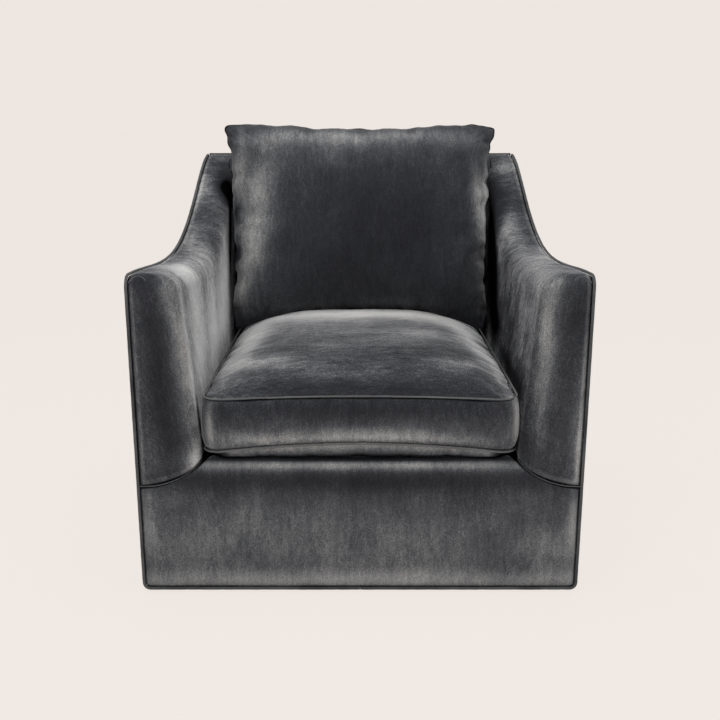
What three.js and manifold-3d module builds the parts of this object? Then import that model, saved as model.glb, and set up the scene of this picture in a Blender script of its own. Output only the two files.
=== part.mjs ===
// Upholstered armchair with a boxed seat cushion and a loose back cushion on a timber frame.
// Millimetres. X runs to the right of a viewer who faces the chair, Y to the rear and Z up.
// The origin lies on the floor, under the middle of the chair. Paired pieces are modelled on the right.

import * as THREE from 'three';
import { mergeVertices } from 'three/addons/utils/BufferGeometryUtils.js';
import Module from 'manifold-3d';

const wasm = await Module();
wasm.setup();

// Overall form
const chairWidth = 920;
const chairDepth = 900;
const backHeight = 813;
const armFrontHeight = 674;
const armLowHeight = 640;
const deckHeight = 290;
const hemHeight = 8;
const planTaperShare = 0.072;
const flareShare = 0.012;
const rearLeanShare = 0.062;
const backRakeShare = 0.16;

// Arms
const armFrontThickness = 95;
const armRearThickness = 80;
const armDeckThickness = 127;
const armInnerTaperShare = 0.015;
const armFrontRound = 38;
const armTopRound = 26;
const armInnerRound = 44;
const armCoreRound = 5;
const armSeamInset = 11;
const armSeamDrop = 54;

// Upholstery layers
const fabric = 2.5;
const gap = 0.3;
const padThickness = 23;
const backPadThickness = 42;
const deckPadThickness = 16;
const pipingRadius = 3;
const pipingProud = 2;
const pipingGap = 0.3;
const hemCornerRound = 13;
const rearCornerRound = 8;
const liningThickness = 3;
const liningSlack = 0.4;
const dustThickness = 1.2;
const overrun = 60;

// Front border and inside back
const borderRound = 30;
const borderLipDepth = 92;
const backDepth = 182;
const backTopRound = 46;

// Timber frame
const frameThickness = 42;
const postDepth = 46;
const armBoardThickness = 20;
const railThickness = 24;
const baseRailHeight = 72;
const seatRailHeight = 62;
const backRailDepth = 36;
const backRailHeight = 62;
const lumbarRailHeight = 48;
const cornerBlockLeg = 62;
const cornerBlockHeight = 40;

// Suspension
const springCount = 5;
const springWireRadius = 1.9;
const springPitch = 48;
const springWidth = 46;
const springMargin = 80;
const springRise = 9;
const clipWidth = 16;
const clipLength = 20;
const clipThickness = 5;
const webbingCount = 2;
const webbingWidth = 60;
const webbingThickness = 1.4;
const webbingSpread = 240;

// Glides
const glideRadius = 17;
const glideInset = 62;
const glideSoleHeight = 5;

// Seat cushion
const seatSideGap = 7;
const seatFrontSetback = 8;
const seatRearGap = 8;
const seatFrontCorner = 46;
const seatRearCorner = 26;
const seatPipingRise = 127;
const seatPipingArch = 9;
const seatLowerRise = 15;
const seatLowerArch = 22;
const seatRearDrop = 8;
const seatCrown = 55;
const seatBulge = 5;
const seatCrownPower = 5;
const cushionWall = 2.5;
const cushionPipingRadius = 2.6;
const seamCut = 3;

// Back cushion
const pillowSideGap = 4.5;
const pillowHalfHeight = 252;
const pillowEar = 24;
const pillowSag = 9;
const pillowArch = 42;
const pillowFront = 102;
const pillowRear = 66;
const pillowRakeShare = 0.29;
const pillowRestGap = 0.9;
const pillowWall = 3.6;

// Zips
const seatZipLength = 420;
const backZipLength = 300;
const zipWidth = 22;
const zipThickness = 1.2;
const zipRecess = 0.5;
const sliderLength = 14;
const sliderWidth = 8;
const sliderHeight = 3.2;
const pullLength = 20;
const pullWidth = 6;
const pullThickness = 1.4;

// Positions that follow from the sizes
const halfWidth = chairWidth / 2 - pipingProud;
const frontY = pipingProud - chairDepth / 2;
const rearY = chairDepth / 2 - pipingProud;
const backFootY = rearY - backDepth;
const armSeamOuterHeight = deckHeight - armSeamDrop;
const armInnerHalf = halfWidth - flareShare * (armFrontHeight - deckHeight) - armDeckThickness;
const armSeamInnerHalf = armInnerHalf - armSeamInset;
const pipingDepth = pipingRadius - pipingProud;
const seamInset = pipingDepth + pipingRadius + pipingGap;
const padInset = fabric + gap;
const frameInset = padInset + padThickness + gap;
const frameSideInset = padInset + gap;
const hemCoverHeight = hemHeight + 2 * pipingRadius + pipingGap;
const dustHeight = hemHeight + pipingRadius;
const frameBase = dustHeight + dustThickness + gap;
const deckUnder = deckHeight - fabric;
const padUnder = deckUnder - gap - deckPadThickness;
const springTop = padUnder - gap;
const springFoot = springTop - springRise - 2 * springWireRadius;
const seatRailTop = springFoot - gap;
const seatRailFoot = seatRailTop - seatRailHeight;
const backPadRear = padInset + backPadThickness;
const framePlaneY = frontY + frameInset;
const betweenPosts = frameSideInset + frameThickness + gap;
const liningInset = frameInset + liningSlack;

const velvet = new THREE.MeshStandardMaterial({ color: 0x3f4045, roughness: 0.85, metalness: 0 });
const piping = new THREE.MeshStandardMaterial({ color: 0x33332f, roughness: 0.8, metalness: 0 });
const timber = new THREE.MeshStandardMaterial({ color: 0xb48a5c, roughness: 0.75, metalness: 0 });
const board = new THREE.MeshStandardMaterial({ color: 0x8a6f4d, roughness: 0.9, metalness: 0 });
const foam = new THREE.MeshStandardMaterial({ color: 0xd9d0b4, roughness: 0.95, metalness: 0 });
const feather = new THREE.MeshStandardMaterial({ color: 0xe6e2d8, roughness: 0.95, metalness: 0 });
const cambric = new THREE.MeshStandardMaterial({ color: 0x1c1c1d, roughness: 0.95, metalness: 0 });
const webbing = new THREE.MeshStandardMaterial({ color: 0x5b5348, roughness: 0.9, metalness: 0 });
const steel = new THREE.MeshStandardMaterial({ color: 0x8d8f92, roughness: 0.4, metalness: 1 });
const nylon = new THREE.MeshStandardMaterial({ color: 0x17181a, roughness: 0.55, metalness: 0 });
const zinc = new THREE.MeshStandardMaterial({ color: 0x5d5f63, roughness: 0.35, metalness: 1 });

const chair = new THREE.Group();

// Solids

function turnedOutward(geometry) {
  const place = geometry.getAttribute('position');
  const index = geometry.index.array;
  const [a, b, c] = [new THREE.Vector3(), new THREE.Vector3(), new THREE.Vector3()];
  let volume = 0;
  for (let i = 0; i < index.length; i += 3) {
    a.fromBufferAttribute(place, index[i]);
    b.fromBufferAttribute(place, index[i + 1]);
    c.fromBufferAttribute(place, index[i + 2]);
    volume += a.dot(b.cross(c));
  }
  if (volume < 0) {
    for (let i = 0; i < index.length; i += 3) {
      [index[i + 1], index[i + 2]] = [index[i + 2], index[i + 1]];
    }
  }
  return geometry;
}

function solidOf(geometry) {
  const bare = new THREE.BufferGeometry();
  bare.setAttribute('position', geometry.getAttribute('position'));
  bare.setIndex(geometry.index);
  const merged = turnedOutward(mergeVertices(bare));
  return new wasm.Manifold(new wasm.Mesh({
    numProp: 3,
    vertProperties: new Float32Array(merged.getAttribute('position').array),
    triVerts: new Uint32Array(merged.index.array),
  }));
}

function geometryOf(solid) {
  const mesh = solid.getMesh();
  const geometry = new THREE.BufferGeometry();
  geometry.setAttribute('position', new THREE.BufferAttribute(mesh.vertProperties, mesh.numProp));
  geometry.setIndex(new THREE.BufferAttribute(mesh.triVerts, 1));
  return geometry;
}

function addPiece(name, solid, material) {
  const geometry = geometryOf(solid);
  geometry.computeVertexNormals();
  const mesh = new THREE.Mesh(geometry, material);
  mesh.name = name;
  chair.add(mesh);
}

function mirrored(solid) {
  const geometry = geometryOf(solid);
  geometry.scale(-1, 1, 1);
  return solidOf(geometry);
}

function addPair(name, solid, material) {
  addPiece(`right_${name}`, solid, material);
  addPiece(`left_${name}`, mirrored(solid), material);
}

// Solid through a list of rings with equal numbers of points, closed by a fan at each end.
function loft(rings) {
  const count = rings[0].length;
  const points = rings.flat();
  const faces = [];
  for (let ring = 0; ring + 1 < rings.length; ring += 1) {
    for (let i = 0; i < count; i += 1) {
      const [a, b] = [ring * count + i, ring * count + (i + 1) % count];
      faces.push(a, b, b + count, a, b + count, a + count);
    }
  }
  const cap = (ring, flipped) => {
    const middle = new THREE.Vector3();
    rings[ring].forEach((point) => middle.addScaledVector(point, 1 / count));
    const centre = points.push(middle) - 1;
    for (let i = 0; i < count; i += 1) {
      const [a, b] = [ring * count + i, ring * count + (i + 1) % count];
      faces.push(centre, ...(flipped ? [b, a] : [a, b]));
    }
  };
  cap(0, true);
  cap(rings.length - 1, false);
  const geometry = new THREE.BufferGeometry().setFromPoints(points);
  geometry.setIndex(faces);
  return solidOf(geometry);
}

// Points of an arc round a middle.
function cornerPoints(middle, radius, fromAngle, toAngle, steps) {
  const points = [];
  for (let i = 0; i <= steps; i += 1) {
    const angle = fromAngle + (toAngle - fromAngle) * (i / steps);
    points.push([middle[0] + radius * Math.cos(angle), middle[1] + radius * Math.sin(angle)]);
  }
  return points;
}

function outlineShape(outline) {
  return new THREE.Shape(outline.map(([across, up]) => new THREE.Vector2(across, up)));
}

function prism(outline, depth, basis, start) {
  const geometry = new THREE.ExtrudeGeometry(outlineShape(outline), { depth, bevelEnabled: false });
  const indexed = mergeVertices(positionsOnly(geometry));
  indexed.applyMatrix4(new THREE.Matrix4().makeBasis(...basis));
  indexed.translate(start.x, start.y, start.z);
  return solidOf(indexed);
}

function positionsOnly(geometry) {
  geometry.deleteAttribute('normal');
  geometry.deleteAttribute('uv');
  return geometry;
}

const alongX = new THREE.Vector3(1, 0, 0);
const alongY = new THREE.Vector3(0, 1, 0);
const alongZ = new THREE.Vector3(0, 0, 1);

// Prism of a YZ outline between two places on X.
function prismX(outline, from, to) {
  return prism(outline, to - from, [alongY, alongZ, alongX], new THREE.Vector3(from, 0, 0));
}

// Prism of an XZ outline between two places on Y.
function prismY(outline, from, to) {
  const basis = [alongX, alongZ, alongY.clone().negate()];
  return prism(outline, to - from, basis, new THREE.Vector3(0, to, 0));
}

// Prism of an XY outline between two heights.
function prismZ(outline, from, to) {
  return prism(outline, to - from, [alongX, alongY, alongZ], new THREE.Vector3(0, 0, from));
}

// Route with a ring exactly at each of its points, for tubes that turn in tight corners.
class Route extends THREE.Curve {
  constructor(points) {
    super();
    this.points = points;
  }

  getSpacedPoints() {
    return this.points;
  }

  computeFrenetFrames() {
    const { points } = this;
    const last = points.length - 1;
    const tangents = points.map((point, i) => {
      const before = i > 0 ? point.clone().sub(points[i - 1]).normalize() : new THREE.Vector3();
      const after = i < last ? points[i + 1].clone().sub(point).normalize() : new THREE.Vector3();
      return before.add(after).normalize();
    });
    const side = Math.abs(tangents[0].z) < 0.9 ? alongZ : alongX;
    const normals = [new THREE.Vector3().crossVectors(tangents[0], side).normalize()];
    for (let i = 1; i <= last; i += 1) {
      const turn = new THREE.Quaternion().setFromUnitVectors(tangents[i - 1], tangents[i]);
      normals.push(normals[i - 1].clone().applyQuaternion(turn));
    }
    const binormals = tangents.map((tangent, i) => tangent.clone().cross(normals[i]));
    return { tangents, normals, binormals };
  }
}

function tube(points, radius, sides) {
  const ring = [];
  for (let i = 0; i < sides; i += 1) {
    const angle = (2 * Math.PI * i) / sides;
    ring.push([radius * Math.cos(angle), radius * Math.sin(angle)]);
  }
  const route = new Route(points);
  const options = { steps: points.length - 1, extrudePath: route, bevelEnabled: false };
  const geometry = new THREE.ExtrudeGeometry(outlineShape(ring), options);
  return solidOf(mergeVertices(positionsOnly(geometry)));
}

// Surfaces that the layers of the chair follow

// Side view of the arm top: it dips behind the front and climbs into the wing in an S.
function armCurve() {
  const lowShare = 0.424;
  const [frontShares, rearShares] = [[0.156, 0.279], [0.714, 0.848]];
  const [frontDropShare, rearRiseShare] = [0.82, 0.96];
  const at = (share, height) => new THREE.Vector2(frontY + share * (rearY - frontY), height);
  const early = armLowHeight + frontDropShare * (armFrontHeight - armLowHeight);
  const late = armLowHeight + rearRiseShare * (backHeight - armLowHeight);
  const low = at(lowShare, armLowHeight);
  const curve = new THREE.CurvePath();
  curve.add(new THREE.CubicBezierCurve(
    at(0, armFrontHeight), at(frontShares[0], early), at(frontShares[1], armLowHeight), low,
  ));
  curve.add(new THREE.CubicBezierCurve(
    low, at(rearShares[0], armLowHeight), at(rearShares[1], late), at(1, backHeight),
  ));
  return curve.getPoints(80);
}

// Stations that every layer of the arm shares, each with the height and the steepness of the arm top.
const armStations = stationsOf(armCurve());

function heightOn(line, y) {
  const next = line.findIndex((point) => point.x >= y);
  if (next <= 0) return next < 0 ? line[line.length - 1].y : line[0].y;
  const [a, b] = [line[next - 1], line[next]];
  return a.y + (b.y - a.y) * ((y - a.x) / (b.x - a.x));
}

function stationsOf(line) {
  const rows = 20;
  const start = frontY + armFrontRound;
  const places = [frontY];
  for (let i = 0; i <= rows; i += 1) places.push(start + (rearY - start) * (i / rows));
  const heights = places.map((y) => heightOn(line, y));
  const stations = places.map((y, i) => {
    const [before, after] = [Math.max(i - 1, 0), Math.min(i + 1, rows + 1)];
    const slope = (heights[after] - heights[before]) / (places[after] - places[before]);
    return { y, height: heights[i], steepness: Math.hypot(1, slope) };
  });
  return [...stations, { ...stations[rows + 1], y: rearY + overrun }];
}

// Height of the arm top, or of a layer that lies some way under its surface.
function armTop(y, inset = 0) {
  const next = Math.max(armStations.findIndex((station) => station.y >= y), 1);
  const [a, b] = [armStations[next - 1], armStations[next]];
  const share = (y - a.y) / (b.y - a.y);
  const steepness = a.steepness + share * (b.steepness - a.steepness);
  return a.height + share * (b.height - a.height) - inset * steepness;
}

function outerX(y, z) {
  return halfWidth - planTaperShare * (y - frontY) - flareShare * (armFrontHeight - z);
}

function rearPlane(z) {
  return rearY - rearLeanShare * (backHeight - z);
}

function backPlane(z) {
  return backFootY + backRakeShare * (z - deckHeight);
}

function deckHalf(y) {
  return armInnerHalf - armInnerTaperShare * (y - frontY);
}

function innerX(y, z) {
  const share = (y - frontY) / (rearY - frontY);
  const thickness = armFrontThickness + share * (armRearThickness - armFrontThickness);
  const top = armTop(y);
  const topInner = outerX(y, top) - thickness;
  return deckHalf(y) + ((topInner - deckHalf(y)) * (z - deckHeight)) / (top - deckHeight);
}

// How far a rounded edge has drawn back at some depth behind the face it starts from.
function edgeDrop(depth, radius) {
  const left = radius - Math.max(depth, 0);
  return left <= 0 ? 0 : radius - Math.sqrt(radius ** 2 - left ** 2);
}

// Clipping solids

function box(fromX, toX, fromY, toY, fromZ, toZ) {
  return prismZ([[fromX, fromY], [toX, fromY], [toX, toY], [fromX, toY]], fromZ, toZ);
}

// Everything between the two sloping sides of the chair, drawn in by an inset.
function betweenSides(inset) {
  const reach = 2 * chairDepth;
  const ring = (y) => [
    [-1, -reach], [1, -reach], [1, reach], [-1, reach],
  ].map(([side, z]) => new THREE.Vector3(side * (outerX(y, z) - inset), y, z));
  return loft([ring(-chairDepth), ring(chairDepth)]);
}

// Everything in front of the rear plane, drawn in by an inset.
function aheadOfRear(inset) {
  const reach = 2 * chairDepth;
  return prismX([
    [-reach, -overrun], [rearPlane(-overrun) - inset, -overrun],
    [rearPlane(reach) - inset, reach], [-reach, reach],
  ], -reach, reach);
}

// Region under the seams that join the arms to the front border, open above the deck where asked.
function underSeam(shift, middleTop) {
  const span = outerX(frontY, armSeamOuterHeight) - seamInset - armSeamInnerHalf;
  const drop = deckHeight - armSeamOuterHeight;
  const steps = 10;
  const right = [[armSeamInnerHalf, middleTop]];
  for (let i = 0; i <= steps; i += 1) {
    const share = i / steps;
    const height = deckHeight + shift - drop * (1 - (1 - share) ** 2);
    if (i > 0 || middleTop > height) right.push([armSeamInnerHalf + share * span, height]);
  }
  right.push([chairWidth, armSeamOuterHeight + shift], [chairWidth, -overrun]);
  const left = right.map(([x, z]) => [-x, z]).reverse();
  return prismY([...right, ...left], -chairDepth, chairDepth);
}

// Arms

function armRing(y, inset, sideInset, foot, round) {
  const depth = y - frontY - inset;
  const top = armTop(y, inset) - edgeDrop(depth, Math.max(armTopRound - inset, 0));
  const side = inset + edgeDrop(depth, armFrontRound - inset);
  const middle = innerX(y, top - round) + side + round;
  const ring = [[outerX(y, foot) - sideInset, foot], [outerX(y, top) - sideInset, top]];
  const arcSteps = 5;
  for (let i = 0; i <= arcSteps; i += 1) {
    const angle = (Math.PI / 2) * (1 + i / arcSteps);
    ring.push([middle + round * Math.cos(angle), top - round + round * Math.sin(angle)]);
  }
  ring.push([innerX(y, foot) + side, foot]);
  return ring.map(([x, z]) => new THREE.Vector3(x, y, z));
}

// Solid arm, rounded at the front and drawn in by an inset, from its foot up.
function armForm(inset, sideInset, foot, round = armInnerRound - inset) {
  const roundShares = [0, 0.06, 0.2, 0.42, 0.7];
  const front = roundShares.map((share) => frontY + inset + share * (armFrontRound - inset));
  const places = [...front, ...armStations.slice(1).map((station) => station.y)];
  return loft(places.map((y) => armRing(y, inset, sideInset, foot, round)));
}

// Bay in each arm that lets the rails of the back through to the posts.
function backBay() {
  const top = backHeight - padInset - padThickness;
  const [foot, reach] = [deckHeight - overrun, backPadRear + gap];
  const half = outerX(backFootY, deckHeight) - frameThickness;
  return prismX([
    [backPlane(foot) + reach, foot], [chairDepth, foot],
    [chairDepth, top], [backPlane(top) + reach, top],
  ], -half, half);
}

const armFoot = armSeamOuterHeight - overrun;

function armCover() {
  const outside = armForm(0, seamInset, armFoot);
  const inside = armForm(fabric, -overrun, armFoot - overrun);
  return trimmedArm(outside.subtract(inside));
}

function armPad() {
  const outside = armForm(padInset, seamInset, armFoot);
  const inside = armForm(padInset + padThickness, -overrun, armFoot - overrun, armCoreRound);
  return trimmedArm(outside.subtract(inside));
}

function trimmedArm(arm) {
  const above = arm.subtract(underSeam(gap, deckHeight + gap));
  return above.intersect(aheadOfRear(seamInset)).subtract(backBay());
}

// Right outside of the chair: what a YZ outline cuts from a layer that lies along the side.
function sideLayer(outline, inset, thickness) {
  const straight = geometryOf(prismX(outline, -inset - thickness, -inset));
  const slope = new THREE.Matrix4().set(
    1, -planTaperShare, flareShare, outerX(0, 0),
    0, 1, 0, 0,
    0, 0, 1, 0,
    0, 0, 0, 1,
  );
  return solidOf(straight.applyMatrix4(slope));
}

// Side view of a layer under the arm top, from one place on Y to another.
function armTopOutline(inset, fromY, toY) {
  const between = armStations.map((station) => station.y).filter((y) => y > fromY && y < toY);
  return [fromY, ...between, toY].map((y) => [y, armTop(y, inset)]);
}

// The same, starting with the rounded front edge.
function roundedArmOutline(inset, toY) {
  const radius = armTopRound - inset;
  const face = frontY + inset;
  const roundShares = [0, 0.04, 0.16, 0.36, 0.62];
  const round = roundShares.map((share) => {
    const depth = share * radius;
    return [face + depth, armTop(face + depth, inset) - edgeDrop(depth, radius)];
  });
  return [...round, ...armTopOutline(inset, face + radius, toY)];
}

// Arm outline at the depth of the piping or of the cover inside it, down to the foot of the wing.
function wingOutline(inset, footHeight) {
  const end = rearPlane(backHeight) - pipingDepth - rearCornerRound;
  const middle = [end, armTop(end, pipingDepth) - rearCornerRound];
  const corner = cornerPoints(middle, rearCornerRound + pipingDepth - inset, Math.PI / 2, 0, 4);
  const foot = [rearPlane(footHeight) - inset, footHeight];
  return [...roundedArmOutline(inset, end), ...corner.slice(1), foot];
}

function sideCover() {
  const front = [frontY + seamInset, hemCoverHeight];
  return sideLayer([...wingOutline(seamInset, hemCoverHeight), front], 0, fabric);
}

const frameRear = (z) => rearPlane(z) - frameSideInset;
const backFrameFront = (z) => backEdge(z, backPadRear + webbingThickness + 2 * gap);
const postRearY = framePlaneY + postDepth;
const backPostFootY = backFrameFront(deckHeight);

const boardInset = frameInset + armBoardThickness;

function armBoard() {
  const rear = frameRear(backHeight - boardInset);
  const upper = armTopOutline(frameInset, framePlaneY, rear);
  const lower = armTopOutline(boardInset, framePlaneY, rear).reverse();
  return sideLayer([...upper, ...lower], frameSideInset, frameThickness);
}

function frontPost() {
  const top = armTopOutline(boardInset + gap, framePlaneY, postRearY);
  const foot = [[postRearY, frameBase], [framePlaneY, frameBase]];
  return sideLayer([...top, ...foot], frameSideInset, frameThickness);
}

function backPost() {
  const shoulder = backHeight - boardInset - gap;
  const top = armTopOutline(boardInset + gap, backFrameFront(shoulder), frameRear(shoulder));
  return sideLayer([
    ...top, [frameRear(frameBase), frameBase],
    [backPostFootY, frameBase], [backPostFootY, deckHeight],
  ], frameSideInset, frameThickness);
}

function baseSideRail() {
  const outline = rectangle(postRearY + gap, backPostFootY - gap, frameBase, frameBase + baseRailHeight);
  return sideLayer(outline, frameSideInset + frameThickness - railThickness, railThickness);
}

function seatSideRail() {
  const [front, rear] = [framePlaneY + railThickness + gap, backPostFootY - gap];
  const inner = (y) => deckHalf(y) + frameInset;
  return prismZ([
    [inner(front), front], [inner(front) + railThickness, front],
    [inner(rear) + railThickness, rear], [inner(rear), rear],
  ], seatRailFoot, seatRailTop);
}

// Board behind the pad of the inner arm, from the seat side rail up to the rounding of the arm top.
function armLining() {
  const foot = seatRailTop + gap;
  const [from, to] = [postRearY, backPlane(deckHeight) + backPadThickness];
  const rings = armTopOutline(armInnerRound, from, to).map(([y, top]) => {
    const at = (z, across) => new THREE.Vector3(innerX(y, z) + liningInset + across, y, z);
    return [at(foot, 0), at(foot, liningThickness), at(top, liningThickness), at(top, 0)];
  });
  return loft(rings);
}

// Braces in the corners of the base, between the cross rails and the sides.
function cornerBlock(railFace, toRear) {
  const wall = outerX(railFace, frameBase) - betweenPosts;
  const reach = cornerBlockLeg + overrun;
  const outline = [
    [wall - cornerBlockLeg, railFace], [wall + overrun, railFace],
    [wall + overrun, railFace + toRear * reach],
  ];
  if (toRear < 0) outline.reverse();
  const block = prismZ(outline, frameBase, frameBase + cornerBlockHeight);
  return block.intersect(betweenSides(betweenPosts));
}

function rectangle(fromY, toY, fromZ, toZ) {
  return [[fromY, fromZ], [toY, fromZ], [toY, toZ], [fromY, toZ]];
}

// Cross pieces

function backEdge(z, inset) {
  return backPlane(z) + inset * Math.hypot(1, backRakeShare);
}

function crossPiece(outline, inset) {
  return prismX(outline, -chairWidth, chairWidth).intersect(betweenSides(inset));
}

function addCrossRails() {
  const baseTop = frameBase + baseRailHeight;
  const [front, frontRear] = [framePlaneY, framePlaneY + railThickness];
  const baseRear = frameRear(frameBase);
  const seatRear = backPostFootY + railThickness;
  const rails = {
    base_front_rail: rectangle(front, frontRear, frameBase, baseTop),
    seat_front_rail: rectangle(front, frontRear, seatRailFoot, seatRailTop),
    seat_rear_rail: rectangle(backPostFootY, seatRear, seatRailFoot, seatRailTop),
    base_rear_rail: rectangle(baseRear - railThickness, baseRear, frameBase, baseTop),
    back_lumbar_rail: backRailOutline(deckHeight + lumbarRailHeight, lumbarRailHeight),
    back_top_rail: backRailOutline(backHeight - frameInset - gap, backRailHeight),
  };
  Object.entries(rails).forEach(([name, outline]) => {
    addPiece(name, crossPiece(outline, betweenPosts), timber);
  });
}

function backRailOutline(top, height) {
  const foot = top - height;
  return [
    [backFrameFront(foot), foot], [backFrameFront(foot) + backRailDepth, foot],
    [backFrameFront(top) + backRailDepth, top], [backFrameFront(top), top],
  ];
}

function addWebbing() {
  const [foot, top] = [deckHeight + gap, backHeight - frameInset - gap];
  const front = (z) => backEdge(z, backPadRear + gap);
  const rear = (z) => backEdge(z, backPadRear + gap + webbingThickness);
  for (let i = 0; i < webbingCount; i += 1) {
    const middle = webbingSpread * (i / (webbingCount - 1) - 1 / 2);
    const outline = [[front(foot), foot], [rear(foot), foot], [rear(top), top], [front(top), top]];
    const strap = prismX(outline, middle - webbingWidth / 2, middle + webbingWidth / 2);
    addPiece(`back_webbing_${i + 1}`, strap, webbing);
  }
}

// Zigzag springs from the seat front rail to the seat rear rail, with a clip at each end.
function addSprings() {
  const [front, rear] = [framePlaneY + railThickness / 2, backPostFootY + railThickness / 2];
  const waves = 2 * Math.round((rear - front) / springPitch / 2) + 1;
  for (let i = 0; i < springCount; i += 1) {
    const middle = (armSeamInnerHalf - springMargin) * ((2 * i) / (springCount - 1) - 1);
    const at = (across, share) => new THREE.Vector3(
      middle + across,
      front + share * (rear - front),
      springFoot + springWireRadius + springRise * Math.sin(Math.PI * share),
    );
    const route = [at(0, 0)];
    for (let wave = 0; wave < waves; wave += 1) {
      const side = wave % 2 ? -springWidth / 2 : springWidth / 2;
      [0.25, 0.75].forEach((part) => route.push(at(side, (wave + part) / waves)));
    }
    route.push(at(0, 1));
    const clip = (y) => box(
      middle - clipWidth / 2, middle + clipWidth / 2, y - clipLength / 2, y + clipLength / 2,
      springFoot, springFoot + clipThickness,
    );
    const spring = tube(route, springWireRadius, 4).add(clip(front)).add(clip(rear));
    addPiece(`seat_spring_${i + 1}`, spring, steel);
  }
}

function addGlides() {
  const top = dustHeight - gap;
  const profile = [
    [0, 0], [glideRadius - glideSoleHeight / 3, 0], [glideRadius, glideSoleHeight / 3],
    [glideRadius, glideSoleHeight], [glideRadius * 0.7, top], [0, top],
  ].map(([radius, z]) => new THREE.Vector2(radius, z));
  const places = { front: frontY + glideInset, rear: rearPlane(0) - glideInset };
  Object.entries(places).forEach(([end, y]) => {
    const geometry = positionsOnly(new THREE.LatheGeometry(profile, 14));
    geometry.rotateX(Math.PI / 2);
    geometry.translate(outerX(y, 0) - glideInset, y, 0);
    addPair(`${end}_glide`, solidOf(geometry), nylon);
  });
}

// Front border, deck, back and base

function borderOutline(inset, thickness, lipThickness) {
  const [face, top] = [frontY + inset, deckHeight - inset];
  const radius = borderRound - inset;
  const end = frontY + borderLipDepth;
  const arc = (share, round) => {
    const angle = Math.PI * (1 - share / 2);
    return [face + radius + round * Math.cos(angle), top - radius + round * Math.sin(angle)];
  };
  const shares = [0, 0.2, 0.4, 0.6, 0.8, 1];
  const inner = radius - Math.min(thickness, lipThickness);
  const inside = thickness === lipThickness
    ? shares.map((share) => arc(share, inner)).reverse()
    : [[face + thickness, top - lipThickness]];
  return [
    [face, hemCoverHeight], ...shares.map((share) => arc(share, radius)), [end, top],
    [end, top - lipThickness], ...inside, [face + thickness, hemCoverHeight],
  ];
}

// Front view of the border with its lower corners rounded inside the piping.
function borderFace() {
  const radius = hemCornerRound - pipingRadius - pipingGap;
  const foot = hemCoverHeight;
  const right = [];
  const steps = 4;
  const middle = outerX(frontY, foot + radius) - seamInset - radius;
  for (let i = 0; i <= steps; i += 1) {
    const angle = (Math.PI / 2) * (i / steps - 1);
    right.push([middle + radius * Math.cos(angle), foot + radius + radius * Math.sin(angle)]);
  }
  right.push([outerX(frontY, backHeight) - seamInset, backHeight]);
  const left = right.map(([x, z]) => [-x, z]).reverse();
  return prismY([...right, ...left], -chairDepth, chairDepth);
}

function frontPiece(outline) {
  const open = underSeam(0, deckHeight + overrun);
  const bar = crossPiece(outline, seamInset);
  return bar.intersect(borderFace()).intersect(open);
}

function deckPlate(fromZ, toZ) {
  const half = armSeamInnerHalf - gap;
  return box(-half, half, frontY + borderLipDepth + gap, backFootY + fabric, fromZ, toZ);
}

// Side view of the upholstery of the back, rounded at its top front edge.
function backOutline(inset, thickness, topThickness) {
  const slope = Math.hypot(1, backRakeShare);
  const foot = deckHeight + gap;
  const top = backHeight - inset;
  const steps = 6;
  const arc = (radius) => {
    const height = backHeight - backTopRound;
    const middle = backPlane(height) + backTopRound * slope;
    const start = Math.PI - Math.atan(backRakeShare);
    const points = [];
    for (let i = 0; i <= steps; i += 1) {
      const angle = start + (Math.PI / 2 - start) * (i / steps);
      points.push([middle + radius * Math.cos(angle), height + radius * Math.sin(angle)]);
    }
    return points;
  };
  const rear = (z) => rearPlane(z) - seamInset;
  const under = top - topThickness;
  const inside = thickness === topThickness
    ? arc(backTopRound - inset - thickness).reverse()
    : [[backEdge(under, inset + thickness), under]];
  return [
    [backEdge(foot, inset), foot], [backEdge(foot, inset + thickness), foot],
    ...inside.reverse(), [rear(under), under], [rear(top), top],
    ...arc(backTopRound - inset).reverse(),
  ];
}

function backPiece(outline) {
  const piece = prismX(outline, -chairWidth, chairWidth).intersect(nearArms());
  const arm = armForm(-gap, seamInset, armFoot);
  return piece.subtract(arm).subtract(mirrored(arm));
}

// Room between the arms, widened as far as the rounding of their tops.
function nearArms() {
  const rings = armStations.filter((station) => station.y > backFootY - overrun).map(({ y }) => {
    const at = (side, z) => new THREE.Vector3(side * (innerX(y, z) + armInnerRound), y, z);
    return [at(-1, 0), at(1, 0), at(1, chairDepth), at(-1, chairDepth)];
  });
  return loft(rings);
}

function addCovers() {
  addPair('arm_cover', armCover(), velvet);
  addPair('side_cover', sideCover(), velvet);
  addPiece('front_cover', frontPiece(borderOutline(0, fabric, fabric)), velvet);
  addPiece('deck_cover', deckPlate(deckUnder, deckHeight), velvet);
  addPiece('inside_back_cover', backPiece(backOutline(0, fabric, fabric)), velvet);
  const rearOutline = [
    [rearPlane(hemCoverHeight) - fabric, hemCoverHeight], [rearPlane(hemCoverHeight), hemCoverHeight],
    [rearPlane(backHeight - seamInset), backHeight - seamInset],
    [rearPlane(backHeight - seamInset) - fabric, backHeight - seamInset],
  ];
  addPiece('rear_cover', crossPiece(rearOutline, seamInset), velvet);
  const under = box(
    -chairWidth, chairWidth, frontY + seamInset, frameRear(dustHeight),
    dustHeight, dustHeight + dustThickness,
  );
  addPiece('dust_cover', under.intersect(betweenSides(frameSideInset)), cambric);
}

function addPads() {
  addPair('arm_pad', armPad(), foam);
  addPiece('front_pad', frontPiece(borderOutline(padInset, padThickness, deckPadThickness)), foam);
  addPiece('deck_pad', deckPlate(padUnder, deckUnder - gap), foam);
  addPiece('back_pad', backPiece(backOutline(padInset, backPadThickness, padThickness)), foam);
}

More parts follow.
